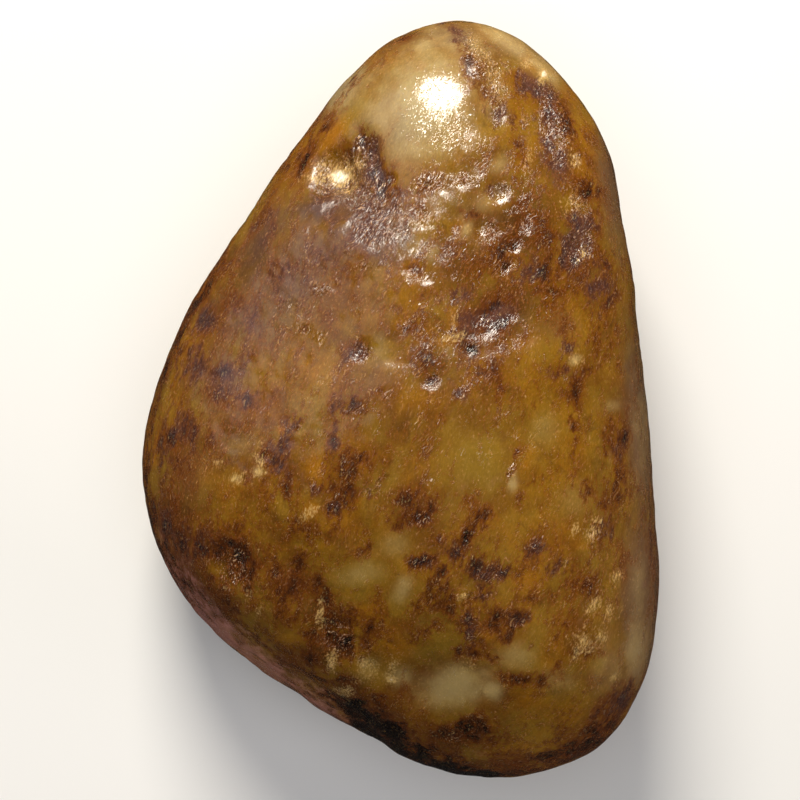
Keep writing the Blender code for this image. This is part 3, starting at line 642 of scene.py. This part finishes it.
# Gloss: polished by the river, duller in the specks and on the rough skin
GLOSS = 0.16  # roughness of clean skin
GLOSS_ROUGH = 0.02
GLOSS_SPECK = (0.35, 0.7, 0.0, 0.10)
GLOSS_POLISH = (0.3, 1.0, 0.0, -0.08)
GLOSS_LOOSE = (0.10, 0.70)  # loose crystals are duller: where that starts and is full
GLOSS_LOOSE_SHARE = (-0.12, 0.24)  # what rough skin adds to it, and what clean skin has
FIBRE_HEIGHT = (0.02, 0.008)  # millimetres: what rough skin adds, and what clean skin has
RIPPLE_HEIGHT = (0.04, 0.016)

# Crystals and splinters that glint: size in millimetres, how much longer than wide, and what is taken
# from a random vector (each part from 0 to 1) to give the lean. Less in Y leans them towards the tip.
CRYSTAL = 0.065
CRYSTAL_STRETCH = 3.4
CRYSTAL_MEAN = (0.52, 0.34, 0.5)
SPLINTER = 0.09
SPLINTER_STRETCH = 4.2
SPLINTER_MEAN = (0.5, 0.45, 0.5)
SPLINTER_SWIRL = (3.6, 1.4)
SPLINTER_LEAN = (0.40, 0.60, 0.42, 0.90)  # from the curd, in the words of GRAINY
# Each crystal draws a lot from 0 to 1, and lies loose when it is above a bar.
BAR = 0.93
BAR_CLEAR, BAR_ROUGH = 0.04, -0.20  # what clear stone and rough skin add to it
BAR_CURD = (0.50, 0.66, 0.0, 0.44)  # and what the curd takes away
LOOSE_FULL = 1.1  # the lot at which a crystal would lean by 1
LOOSE_LEAST = 0.04  # how far every crystal leans
POLISHED_LEAN = (0.40, 1.0, 0.02, 0.42)  # from the lot, on polished skin
POLISHED = (0.0, 0.6)  # polish where the crystals start to be held fast, and where all are

# Body of the stone
REFRACTION = 1.62
DEPTH_WEIGHT = 0.25
DEPTH_RADIUS = (1.0, 0.6, 0.25)
DEPTH_SCALE = 1.2 * MM


# ---------------------------------------------------------------------------------------- fine mesh


def skin_grid():
    """The skin of a box cut into CELLS: its lattice points, its squares, and each corner's map."""
    steps = np.array(CELLS)
    stacked = (
        (2, (1, 0)),  # top or bottom: Y across, X up
        (0, (1, 2)),  # right or left: Y across, Z up
        (1, (0, 2)),  # front or back: X across, Z up
    )
    places, quads, maps = [], [], []
    start = 0
    for high, left in ((True, 0), (False, CELLS[1] + ISLAND_GAP)):
        bottom = 0
        for axis, (across, up) in stacked:
            columns, rows = steps[across], steps[up]
            i, j = np.meshgrid(np.arange(columns + 1), np.arange(rows + 1), indexing="ij")
            block = np.zeros((columns + 1, rows + 1, 3), int)
            block[..., across], block[..., up] = i, j
            block[..., axis] = steps[axis] if high else 0
            number = start + np.arange((columns + 1) * (rows + 1)).reshape(columns + 1, rows + 1)
            quad = np.stack((number[:-1, :-1], number[1:, :-1], number[1:, 1:], number[:-1, 1:]), -1)
            facing_out = np.linalg.det(np.eye(3)[[across, up, axis]]) > 0
            quad = quad if facing_out == high else quad[..., ::-1]
            places.append(block.reshape(-1, 3))
            quads.append(quad.reshape(-1, 4))
            maps.append(np.stack((left + i, bottom + j), -1).reshape(-1, 2) / MAP_SIDE)
            bottom += rows + ISLAND_GAP
            start += number.size
    places, quads, maps = map(np.concatenate, (places, quads, maps))
    places, index = np.unique(places, axis=0, return_inverse=True)
    return places, index.reshape(-1)[quads], maps[quads]


def skin_rays(places, half_sides):
    """Directions from the stone's middle. The tangent keeps the squares of one size."""
    share = 2.0 * places / np.array(CELLS) - 1.0
    rays = np.tan(share * math.pi / 4) * half_sides
    return rays / np.linalg.norm(rays, axis=1, keepdims=True)


def surface_reach(middle, rays):
    """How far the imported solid's surface lies from its middle along each ray."""
    depsgraph = bpy.context.evaluated_depsgraph_get()
    tree = BVHTree.FromObject(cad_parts[NODE], depsgraph)
    return np.array([tree.ray_cast(middle, Vector(ray))[3] for ray in rays])


def edges_of(quads):
    pairs = np.concatenate([quads[:, [k, (k + 1) % 4]] for k in range(4)])
    return np.unique(np.sort(pairs, axis=1), axis=0)


def point_normals(points, quads):
    corners = points[quads]
    faces = np.cross(corners[:, 2] - corners[:, 0], corners[:, 3] - corners[:, 1])
    normals = np.zeros_like(points)
    for k in range(4):
        for axis in range(3):
            normals[:, axis] += np.bincount(quads[:, k], faces[:, axis], len(points))
    return normals / np.linalg.norm(normals, axis=1, keepdims=True)


def smoothed(points, quads, rounds, share=None):
    """The points after so many rounds of smoothing. Only the part of a move along the normal counts,
    and near neighbours count more, so the uneven squares leave no crease."""
    first, second = edges_of(quads).T
    for _ in range(rounds):
        gap = points[second] - points[first]
        reach = np.sum(gap * gap, axis=1)
        nearness = np.minimum((SMOOTHING_STEP * MM) ** 2 / reach, 1.0)
        pull = gap * (SMOOTHING_PULL * nearness)[:, None]
        move = np.zeros_like(points)
        for axis in range(3):
            move[:, axis] = np.bincount(first, pull[:, axis], len(points))
            move[:, axis] -= np.bincount(second, pull[:, axis], len(points))
        normals = point_normals(points, quads)
        step = np.sum(move * normals, axis=1)
        points = points + normals * (step if share is None else step * share)[:, None]
    return points


def wave_at(points_mm, wave):
    """The height of a wave at points in millimetres."""
    height, size, shift = wave
    shift = Vector((shift, 0, 0))
    return height * np.array([noise.noise(Vector(p) / size + shift) for p in points_mm])


def ramp(values, low, high):
    share = np.clip((values - low) / (high - low), 0.0, 1.0)
    return share * share * (3.0 - 2.0 * share)


# -------------------------------------------------------------------------------------------- marks


def in_picture(points):
    """Where points of the stone show in the picture, in pixels across and down."""
    scale = IMAGE_SIDE * LENS / SENSOR / (CAMERA.z - points[:, 2])
    across = PICTURE_MIDDLE + (points[:, 0] - CAMERA.x) * scale
    down = PICTURE_MIDDLE - (points[:, 1] - CAMERA.y) * scale
    return np.stack((across, down), axis=1)


def turned(across, up, degrees):
    angle = math.radians(degrees)
    along = across * math.cos(angle) + up * math.sin(angle)
    return along, up * math.cos(angle) - across * math.sin(angle)


def placed_amount(marks, pixels, facing_up, stray):
    """The strongest of the placed marks at each point."""
    amount = np.zeros(len(pixels))
    for x, y, length, width, turn, strength in marks:
        along, aside = turned(pixels[:, 0] - x, y - pixels[:, 1], turn)
        off = np.hypot(along / (length / 2), aside / (width / 2)) + stray
        amount = np.maximum(amount, strength * np.exp(-MARK_FALL * np.clip(off, 0, None) ** 2))
    return amount * facing_up


def scattered_amount(kind, random, points_mm, normals, stray):
    """The strongest of the random marks of a kind, whose middles lie on the side that faces down."""
    count, lengths, widths = SCATTER[kind]
    amount = np.zeros(len(points_mm))
    hidden = np.flatnonzero(normals[:, 2] < SCATTER_SLOPE)
    for _ in range(count):
        at = hidden[random.integers(len(hidden))]
        normal = normals[at]
        turn = SCATTER_TURN + random.normal(0.0, SCATTER_TURN_SPREAD)
        along = np.array((math.cos(turn), math.sin(turn), 0.0))
        along -= normal * along.dot(normal)
        along /= np.linalg.norm(along)
        aside = np.cross(normal, along)
        off = points_mm - points_mm[at]
        length, width = random.uniform(*lengths), random.uniform(*widths)
        share = np.sqrt(
            (off @ along / (length / 2)) ** 2
            + (off @ aside / (width / 2)) ** 2
            + (off @ normal / (length / 2)) ** 2
        )
        share = np.clip(share + stray, 0, None)
        strength = random.uniform(*SCATTER_STRENGTH)
        amount = np.maximum(amount, strength * np.exp(-MARK_FALL * share**2))
    return amount


def mark_amounts(points, normals):
    """{kind: amount at each point}, from 0 to the strength of the strongest mark there."""
    random = np.random.default_rng(SCATTER_SEED)
    points_mm = points / MM
    pixels = in_picture(points)
    facing_up = ramp(normals[:, 2] + wave_at(points_mm, BORDER_WAVE), *BORDER)
    stray = MARK_WARP * sum(wave_at(points_mm, wave) for wave in MARK_EDGES)
    amounts = {}
    for kind, marks in MARKS.items():
        edge = stray * (SOFT_WARP if kind in SOFT_KINDS else 1.0)
        amounts[kind] = placed_amount(marks, pixels, facing_up, edge)
        if kind in SCATTER:
            scattered = scattered_amount(kind, random, points_mm, normals, edge)
            amounts[kind] = np.maximum(amounts[kind], scattered)
    # the painted rose reflection is kept to the steep flank
    slope = normals[:, 2] + wave_at(points_mm, ROSE_REFLECTION_WAVE)
    amounts["rose_reflection"] *= ramp(slope, *ROSE_REFLECTION_STARTS) * (1.0 - ramp(slope, *ROSE_REFLECTION_ENDS))
    return amounts


# ------------------------------------------------------------------------------------------- relief


def nearest_point(pixels, normals, place):
    """The point of the upper side that shows nearest to a place in the picture."""
    off = np.hypot(*(pixels - np.array(place)).T)
    return int(np.where(normals[:, 2] < SEEN_SLOPE, np.inf, off).argmin())


def chips(points_mm, pixels, normals):
    """Shallow scoops with a crisp edge."""
    cut = np.zeros(len(points_mm))
    ragged = wave_at(points_mm, CHIP_EDGE)
    for place, radius, depth in CHIPS:
        centre = points_mm[nearest_point(pixels, normals, place)]
        off = np.linalg.norm(points_mm - centre, axis=1) / radius + ragged
        cut = np.maximum(cut, depth * np.clip(1.0 - off**2, 0.0, None))
    return -cut


def notches(points_mm, pixels, facing_up):
    cut = np.zeros(len(pixels))
    ragged = wave_at(points_mm, NOTCH_EDGE)
    ragged_along, ragged_aside = (share * ragged for share in NOTCH_STRAY)
    for x, y, length, width, turn, depth in NOTCHES:
        along, aside = turned(pixels[:, 0] - x, y - pixels[:, 1], turn)
        along = along / length + 0.5 + ragged_along
        slope = np.where(along < NOTCH_END, along / NOTCH_END, (1.0 - along) / (1.0 - NOTCH_END))
        across = 1.0 - ramp(np.abs(aside / (width / 2) + ragged_aside), *NOTCH_SIDES)
        cut = np.maximum(cut, depth * np.clip(slope, 0.0, 1.0) * across)
    return -cut * facing_up


def mounds(pixels, facing_up):
    lift = np.zeros(len(pixels))
    for x, y, length, width, turn, height in MOUNDS:
        along, aside = turned(pixels[:, 0] - x, y - pixels[:, 1], turn)
        off = np.hypot(along / (length / 2), aside / (width / 2))
        lift += height * np.exp(-MOUND_FALL * off**2)
    return lift * facing_up


def ledges(pixels, facing_up):
    """Steps that run between two places of the picture and fade away to both sides."""
    lift = np.zeros(len(pixels))
    for start, end, height in LEDGES:
        start, end = np.array(start, float), np.array(end, float)
        length = np.linalg.norm(end - start)
        way = (end - start) / length
        off = pixels - start
        along = off @ way / length
        left = (off[:, 0] * way[1] - off[:, 1] * way[0]) / LEDGE_STEP
        ends = ramp(along, -LEDGE_ENDS, LEDGE_ENDS)
        ends *= 1.0 - ramp(along, 1.0 - LEDGE_ENDS, 1.0 + LEDGE_ENDS)
        lift += 0.5 * height * np.tanh(left) * np.exp(-((left / LEDGE_FADE) ** 2)) * ends
    return lift * facing_up


def knocks(points_mm, normals, tree, random):
    """Small crescents, as one stone leaves on another."""
    lift = np.zeros(len(points_mm))
    rim_share, rim_width = KNOCK_RIM
    for _ in range(KNOCKS):
        at = random.integers(len(points_mm))
        radius, depth = random.uniform(*KNOCK_RADIUS), random.uniform(*KNOCK_DEPTH)
        way = np.cross(normals[at], random.normal(size=3))
        way /= np.linalg.norm(way)
        near = np.array([i for _, i, _ in tree.find_range(points_mm[at], radius * KNOCK_REACH)])
        off = points_mm[near] - points_mm[at]
        distance = np.linalg.norm(off, axis=1)
        side = ramp(off @ way / radius, *KNOCK_OPENING)
        rim = np.exp(-(((distance - radius) / (rim_share * radius + rim_width)) ** 2))
        lift[near] = np.minimum(lift[near], -depth * rim * side)
    return lift


def pits(points_mm, rough, tree, random):
    """Small bowls, most of them where the skin is rough."""
    lift = np.zeros(len(points_mm))
    chance = PIT_CHANCE_ON_SMOOTH + rough**PIT_CHANCE_POWER
    middles = random.choice(len(points_mm), PITS, replace=False, p=chance / chance.sum())
    for at in middles:
        radius, depth = random.uniform(*PIT_RADIUS), random.uniform(*PIT_DEPTH)
        near = np.array([i for _, i, _ in tree.find_range(points_mm[at], radius)])
        off = np.linalg.norm(points_mm[near] - points_mm[at], axis=1) / radius
        lift[near] = np.minimum(lift[near], -depth * (1.0 - off**2) ** 2)
    return lift


def relief(points, normals, amounts):
    """How far each point is lifted along its normal, in millimetres. Marks the broken places as rough."""
    random = np.random.default_rng(RELIEF_SEED)
    points_mm = points / MM
    pixels = in_picture(points)
    facing_up = ramp(normals[:, 2], *RELIEF_BORDER)
    tree = KDTree(len(points_mm))
    for i, point in enumerate(points_mm):
        tree.insert(point, i)
    tree.balance()
    worn = 1.0 - RELIEF_LOST_TO_POLISH * np.minimum(amounts["polish"], 1.0)
    lift = sum(wave_at(points_mm, wave) for wave in SWELLS)
    lift *= (1.0 - SWELLS_LOST_TO_WINDOW * amounts["window"]) * worn
    broken_off = chips(points_mm, pixels, normals) + notches(points_mm, pixels, facing_up)
    broken_rough = BROKEN_ROUGH * ramp(-broken_off, *BROKEN_DEPTH)
    amounts["rough"] = np.maximum(amounts["rough"], broken_rough)
    lift += broken_off
    lift += mounds(pixels, facing_up)
    lift += ledges(pixels, facing_up)
    lift += worn * knocks(points_mm, normals, tree, random)
    lift += worn * pits(points_mm, amounts["rough"], tree, random)
    lift -= CRAG_DEPTH * amounts["rough"] * sum(np.abs(wave_at(points_mm, wave)) for wave in CRAGS)
    lift -= UMBER_DEPTH * amounts["umber_and_shade"] + RUSSET_DEPTH * amounts["russet"]
    return lift


# -------------------------------------------------------------------------------------------- piece


def make_skin():
    places, quads, maps = skin_grid()
    low, high = (np.array(corner) for corner in CAD_BOX)
    middle = (low + high) / 2
    rays = skin_rays(places, (high - low) / 2)
    points = middle + rays * surface_reach(Vector(middle), rays)[:, None]
    points = smoothed(points, quads, SMOOTHING_ROUNDS)
    normals = point_normals(points, quads)
    facing_up = ramp(normals[:, 2], *POLISH_SLOPE)
    polish = placed_amount(MARKS["polish"], in_picture(points), facing_up, 0.0)
    points = smoothed(points, quads, POLISH_ROUNDS, np.minimum(POLISH_PULL * polish, 1.0))
    normals = point_normals(points, quads)
    amounts = mark_amounts(points, normals)
    foot = ramp(points[:, 2] / MM, *FOOT_FADE)  # the flat that it rests on stays flat
    points += normals * (relief(points, normals, amounts) * foot * MM)[:, None]
    points[:, 2] = np.maximum(points[:, 2], low[2])

    mesh = bpy.data.meshes.new("jade_skin")
    mesh.from_pydata(points.tolist(), [], quads.tolist())
    layer = mesh.uv_layers.new(name="OFBake")
    layer.uv.foreach_set("vector", maps.reshape(-1))
    for kind, amount in amounts.items():
        mesh.attributes.new(kind, "FLOAT", "POINT").data.foreach_set("value", amount)
    mesh.shade_smooth()
    mesh.update()
    mesh.validate()
    skin = bpy.data.objects.new("jade_skin", mesh)
    bpy.context.scene.collection.objects.link(skin)
    return skin


# ----------------------------------------------------------------------------------------- material


class Graph:
    """Short words for the nodes of a material."""

    def __init__(self, name):
        self.material = bpy.data.materials.new(name)
        self.material.use_nodes = True
        self.tree = self.material.node_tree
        self.shader = self.tree.nodes["Principled BSDF"]
        coordinates = self.tree.nodes.new("ShaderNodeTexCoord").outputs["Object"]
        self.mm = self.scaled(coordinates, 1.0 / MM)

    def make(self, kind, inputs=(), output=0, **settings):
        """A node with its first inputs filled by sockets or plain values. Returns one output."""
        node = self.tree.nodes.new(kind)
        for name, value in settings.items():
            setattr(node, name, value)
        for socket, value in zip(node.inputs, inputs):
            self.fill(socket, value)
        return node.outputs[output]

    def fill(self, socket, value):
        if isinstance(value, bpy.types.NodeSocket):
            self.tree.links.new(value, socket)
        else:
            socket.default_value = value

    def math(self, operation, *values):
        return self.make("ShaderNodeMath", values, operation=operation)

    def plus(self, first, second):
        return self.math("ADD", first, second)

    def times(self, first, second):
        return self.math("MULTIPLY", first, second)

    def line(self, value, slope, start):
        """The value times the slope, plus the start."""
        return self.math("MULTIPLY_ADD", value, slope, start)

    def vector(self, operation, *values):
        return self.make("ShaderNodeVectorMath", values, operation=operation)

    def scaled(self, vector, factor):
        made = self.vector("SCALE", vector)
        self.fill(made.node.inputs["Scale"], factor)
        return made

    def amount(self, kind):
        return self.make("ShaderNodeAttribute", output="Fac", attribute_name=kind)

    def stretched(self, turn, stretch):
        """The coordinates turned about Z and squeezed, so that patterns run along the turn."""
        mapping = self.make("ShaderNodeMapping", [self.mm], vector_type="TEXTURE")
        mapping.node.inputs["Rotation"].default_value = (0.0, 0.0, turn)
        mapping.node.inputs["Scale"].default_value = (stretch, 1.0, 1.0)
        return mapping

    def swirled(self, where, size, reach):
        """The coordinates pulled about, so that what is drawn in them runs in curls."""
        pull = self.make("ShaderNodeTexNoise", [self.mm], "Color")
        pull.node.inputs["Scale"].default_value = 1.0 / size
        pull = self.vector("SUBTRACT", pull, (0.5, 0.5, 0.5))
        return self.vector("ADD", where, self.scaled(pull, reach))

    def noise(self, pattern, where=None):
        """Noise from 0 to 1, from the size of its swells (mm), detail, roughness and distortion."""
        made = self.make("ShaderNodeTexNoise", [where or self.mm])
        size, *rest = pattern
        made.node.inputs["Scale"].default_value = 1.0 / size
        for name, value in zip(("Detail", "Roughness", "Distortion"), rest):
            made.node.inputs[name].default_value = value
        return made

    def cells(self, size, where):
        """A random colour for each cell of a size in millimetres."""
        made = self.make("ShaderNodeTexVoronoi", [where], "Color")
        made.node.inputs["Scale"].default_value = 1.0 / size
        return made

    def ramp(self, value, low, high, to_low=0.0, to_high=1.0):
        inputs = [value, low, high, to_low, to_high]
        return self.make("ShaderNodeMapRange", inputs, interpolation_type="SMOOTHSTEP")

    def broken(self, amount, pattern, stray, low, high):
        """A mark's amount with its edge broken up by a pattern from 0 to 1."""
        shifted = self.line(pattern, stray, -stray / 2)
        return self.ramp(self.plus(amount, shifted), low, high)

    def blend(self, share, first, second, how="MIX"):
        made = self.make("ShaderNodeMix", output=2, data_type="RGBA", blend_type=how)
        sockets = made.node.inputs
        self.fill(sockets[0], share)
        for socket, colour in ((sockets[6], first), (sockets[7], second)):
            self.fill(socket, colour if isinstance(colour, bpy.types.NodeSocket) else (*colour, 1.0))
        return made


def make_patterns(graph):
    """{name: pattern from 0 to 1}, and the coordinates in which the fibres are drawn."""
    along_grain = graph.stretched(GRAIN_TURN, GRAIN_STRETCH)
    fibre_way = graph.swirled(graph.stretched(SCATTER_TURN, CRYSTAL_STRETCH), *THREAD_SWIRL)
    patterns = {name: graph.noise(values) for name, values in BROAD_PATTERNS.items()}
    for name, values in GRAIN_PATTERNS.items():
        patterns[name] = graph.noise(values, along_grain)
    patterns["shade"] = graph.noise(SHADE_PATTERN, graph.swirled(graph.mm, *SHADE_SWIRL))
    patterns["thread"] = graph.noise(THREAD_PATTERN, fibre_way)
    patterns["blotch"] = graph.times(graph.plus(patterns["veil"], patterns["curd"]), 0.5)
    return patterns, fibre_way


def stain_amount(graph, amounts, patterns):
    stain = STAIN_BASE
    for kind, share in STAIN_SHARES:
        stain = graph.line(amounts[kind], share, stain)
    mottle = 0.0
    for name, spread in MOTTLE:
        mottle = graph.plus(mottle, graph.ramp(patterns[name], *COMMON, -spread, spread))
    much = graph.line(graph.math("MAXIMUM", stain, 0.0), MOTTLE_WITH_STAIN, MOTTLE_ON_CLEAN)
    return graph.line(mottle, much, stain)


def body_colour(graph, amounts, patterns):
    """Honey and brown clouds, with marks of other tints in their depth, and painted sheen and reflection.
    """
    colour = HONEY
    for name, low, high, share, tint in BODY_TINTS:
        colour = graph.blend(graph.ramp(patterns[name], low, high, 0.0, share), colour, tint)
    for kind, stray, low, high, share, tint in DEEP_MARKS:
        mark = graph.broken(amounts[kind], patterns["blotch"], stray, low, high)
        colour = graph.blend(graph.times(mark, share), colour, tint)
    return colour


def with_crusts(graph, colour, stain, amounts, patterns):
    """The colour with stains, mauve and gold on top of it; the gold is in part painted glints and a lit
    facet, with cream painted highlights at its cores.
    """
    for low, high, share, tint in STAIN_TINTS:
        colour = graph.blend(graph.times(graph.ramp(stain, low, high), share), colour, tint)
    for kind, (first, second), stray, low, high, share, tint in CRUSTS:
        pattern = graph.plus(patterns[first], patterns[second])
        crust = graph.broken(amounts[kind], pattern, stray, low, high)
        colour = graph.blend(graph.times(crust, share), colour, tint)
    # painted highlights: cream where the gold is strongest
    cream_highlight = graph.times(graph.ramp(amounts["gold_and_glint"], *CREAM_HIGHLIGHT_AMOUNT), CREAM_HIGHLIGHT_SHARE)
    return graph.blend(cream_highlight, colour, CREAM_HIGHLIGHT)


def with_grain(graph, colour, rough, grainy, patterns):
    """The colour with pale fibres and golden flecks, both in part painted glints, and fine light and
    dark.
    """
    thread = patterns["thread"]
    pale = graph.times(graph.ramp(thread, *THREADS), graph.line(rough, *THREAD_SHARE))
    colour = graph.blend(graph.times(pale, grainy), colour, THREAD_AND_GLINT)
    fleck = graph.times(graph.ramp(thread, *FLECKS), graph.ramp(patterns["curd"], *FLECK_SHARE))
    colour = graph.blend(fleck, colour, FLECK_AND_GLINT)
    fine = 0.0
    for name, spread in FINE_LIGHT:
        fine = graph.plus(fine, graph.ramp(patterns[name], *COMMON, -spread, spread))
    light = graph.line(fine, grainy, 1.0)
    grey = graph.make("ShaderNodeCombineColor", [light, light, light])
    return graph.blend(1.0, colour, grey, "MULTIPLY")


def grain_bump(graph, rough, grainy, patterns):
    fibres = graph.times(patterns["grain"], graph.line(rough, *FIBRE_HEIGHT))
    ripple = graph.times(patterns["speck"], graph.line(rough, *RIPPLE_HEIGHT))
    bump = graph.make("ShaderNodeBump")
    bump.node.inputs["Distance"].default_value = MM
    graph.fill(bump.node.inputs["Height"], graph.times(graph.plus(fibres, ripple), grainy))
    return bump


def glinting(graph, normal, rough, clear, polish, curd, fibre_way):
    """The normal, tilted another way in each small crystal, and in each splinter of the rough skin.
    Also returns how loose the crystals lie."""
    crystal = graph.cells(CRYSTAL, fibre_way)
    lot = graph.make("ShaderNodeTexWhiteNoise", [crystal], output="Value")
    bar = graph.line(rough, BAR_ROUGH, graph.line(clear, BAR_CLEAR, BAR))
    bar = graph.math("SUBTRACT", bar, graph.ramp(curd, *BAR_CURD))
    loose = graph.plus(graph.ramp(lot, bar, LOOSE_FULL), LOOSE_LEAST)
    held = graph.times(graph.ramp(lot, *POLISHED_LEAN), polish)
    free = graph.math("SUBTRACT", 1.0, graph.ramp(polish, *POLISHED))
    crystal_lean = graph.line(loose, free, held)
    splinter_way = graph.swirled(graph.stretched(SCATTER_TURN, SPLINTER_STRETCH), *SPLINTER_SWIRL)
    splinter = graph.cells(SPLINTER, splinter_way)
    splinter_lean = graph.times(rough, graph.ramp(curd, *SPLINTER_LEAN))
    leans = ((crystal, CRYSTAL_MEAN, crystal_lean), (splinter, SPLINTER_MEAN, splinter_lean))
    for colour, mean, lean in leans:
        tilt = graph.scaled(graph.vector("SUBTRACT", colour, mean), lean)
        normal = graph.vector("ADD", normal, tilt)
    return graph.vector("NORMALIZE", normal), graph.times(loose, free)


def roughness(graph, rough, loose, polish, speck):
    value = graph.line(rough, GLOSS_ROUGH, GLOSS)
    value = graph.plus(value, graph.ramp(speck, *GLOSS_SPECK))
    value = graph.plus(value, graph.ramp(polish, *GLOSS_POLISH))
    dull = graph.times(graph.ramp(loose, *GLOSS_LOOSE), graph.line(rough, *GLOSS_LOOSE_SHARE))
    return graph.plus(value, dull)


def jade_material():
    graph = Graph("jade_skin")
    amounts = {kind: graph.amount(kind) for kind in MARKS}
    patterns, fibre_way = make_patterns(graph)
    curd, polish = patterns["curd"], amounts["polish"]
    rough = graph.broken(amounts["rough"], curd, *ROUGH_BREAK)
    clear = graph.math("MAXIMUM", amounts["window"], graph.times(amounts["olive"], CLEAR_FROM_OLIVE))
    stain = stain_amount(graph, amounts, patterns)
    grainy = graph.times(graph.ramp(stain, *GRAINY), graph.line(clear, -GRAINY_LOST_TO_CLEAR, 1.0))

    colour = body_colour(graph, amounts, patterns)
    colour = with_crusts(graph, colour, stain, amounts, patterns)
    colour = with_grain(graph, colour, rough, grainy, patterns)
    bump = grain_bump(graph, rough, grainy, patterns)
    normal, loose = glinting(graph, bump, rough, clear, polish, curd, fibre_way)

    sockets = graph.shader.inputs
    graph.fill(sockets["Base Color"], colour)
    graph.fill(sockets["Normal"], normal)
    graph.fill(sockets["Roughness"], roughness(graph, rough, loose, polish, patterns["speck"]))
    sockets["IOR"].default_value = REFRACTION
    sockets["Subsurface Weight"].default_value = DEPTH_WEIGHT
    sockets["Subsurface Radius"].default_value = DEPTH_RADIUS
    sockets["Subsurface Scale"].default_value = DEPTH_SCALE
    return graph.material


# -------------------------------------------------------------------------------------------- studio


def area_light(name, place, diameter, power, colour, mirrored):
    data = bpy.data.lights.new(name, "AREA")
    data.shape = "DISK"
    data.size = diameter
    data.energy = power
    data.color = colour
    lamp = bpy.data.objects.new(name, data)
    lamp.location = place
    lamp.rotation_mode = "QUATERNION"
    lamp.rotation_quaternion = (-Vector(place)).to_track_quat("-Z", "Y")
    lamp.visible_glossy = mirrored
    bpy.context.scene.collection.objects.link(lamp)


def make_studio():
    for light in LIGHTS:
        area_light(*light)
    world = bpy.data.worlds.new("studio")
    world.use_nodes = True
    background = world.node_tree.nodes["Background"].inputs
    background["Color"].default_value = WORLD_COLOUR
    background["Strength"].default_value = WORLD_STRENGTH
    bpy.context.scene.world = world
    bpy.context.scene.view_settings.view_transform = "Standard"


def make_floor():
    mesh = bpy.data.meshes.new("floor")
    corners = [(x * FLOOR_REACH, y * FLOOR_REACH, 0) for x, y in ((-1, -1), (1, -1), (1, 1), (-1, 1))]
    mesh.from_pydata(corners, [], [(0, 1, 2, 3)])
    material = bpy.data.materials.new("floor")
    material.use_nodes = True
    sockets = material.node_tree.nodes["Principled BSDF"].inputs
    sockets["Base Color"].default_value = FLOOR_COLOUR
    sockets["Roughness"].default_value = FLOOR_ROUGHNESS
    mesh.materials.append(material)
    floor = bpy.data.objects.new("floor", mesh)
    floor.visible_glossy = False  # the stone's rim stays dark, as on a stand well clear of the floor
    bpy.context.scene.collection.objects.link(floor)


def make_camera():
    data = bpy.data.cameras.new("camera")
    data.lens, data.sensor_width = LENS, SENSOR
    data.clip_start, data.clip_end = CAMERA_CLIP
    camera = bpy.data.objects.new("camera", data)
    camera.location = CAMERA
    bpy.context.scene.collection.objects.link(camera)
    bpy.context.scene.camera = camera


make_camera()
make_studio()
make_floor()
pebble = make_skin()
pebble.data.materials.append(jade_material())
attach(pebble, "root")
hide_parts(NODE)
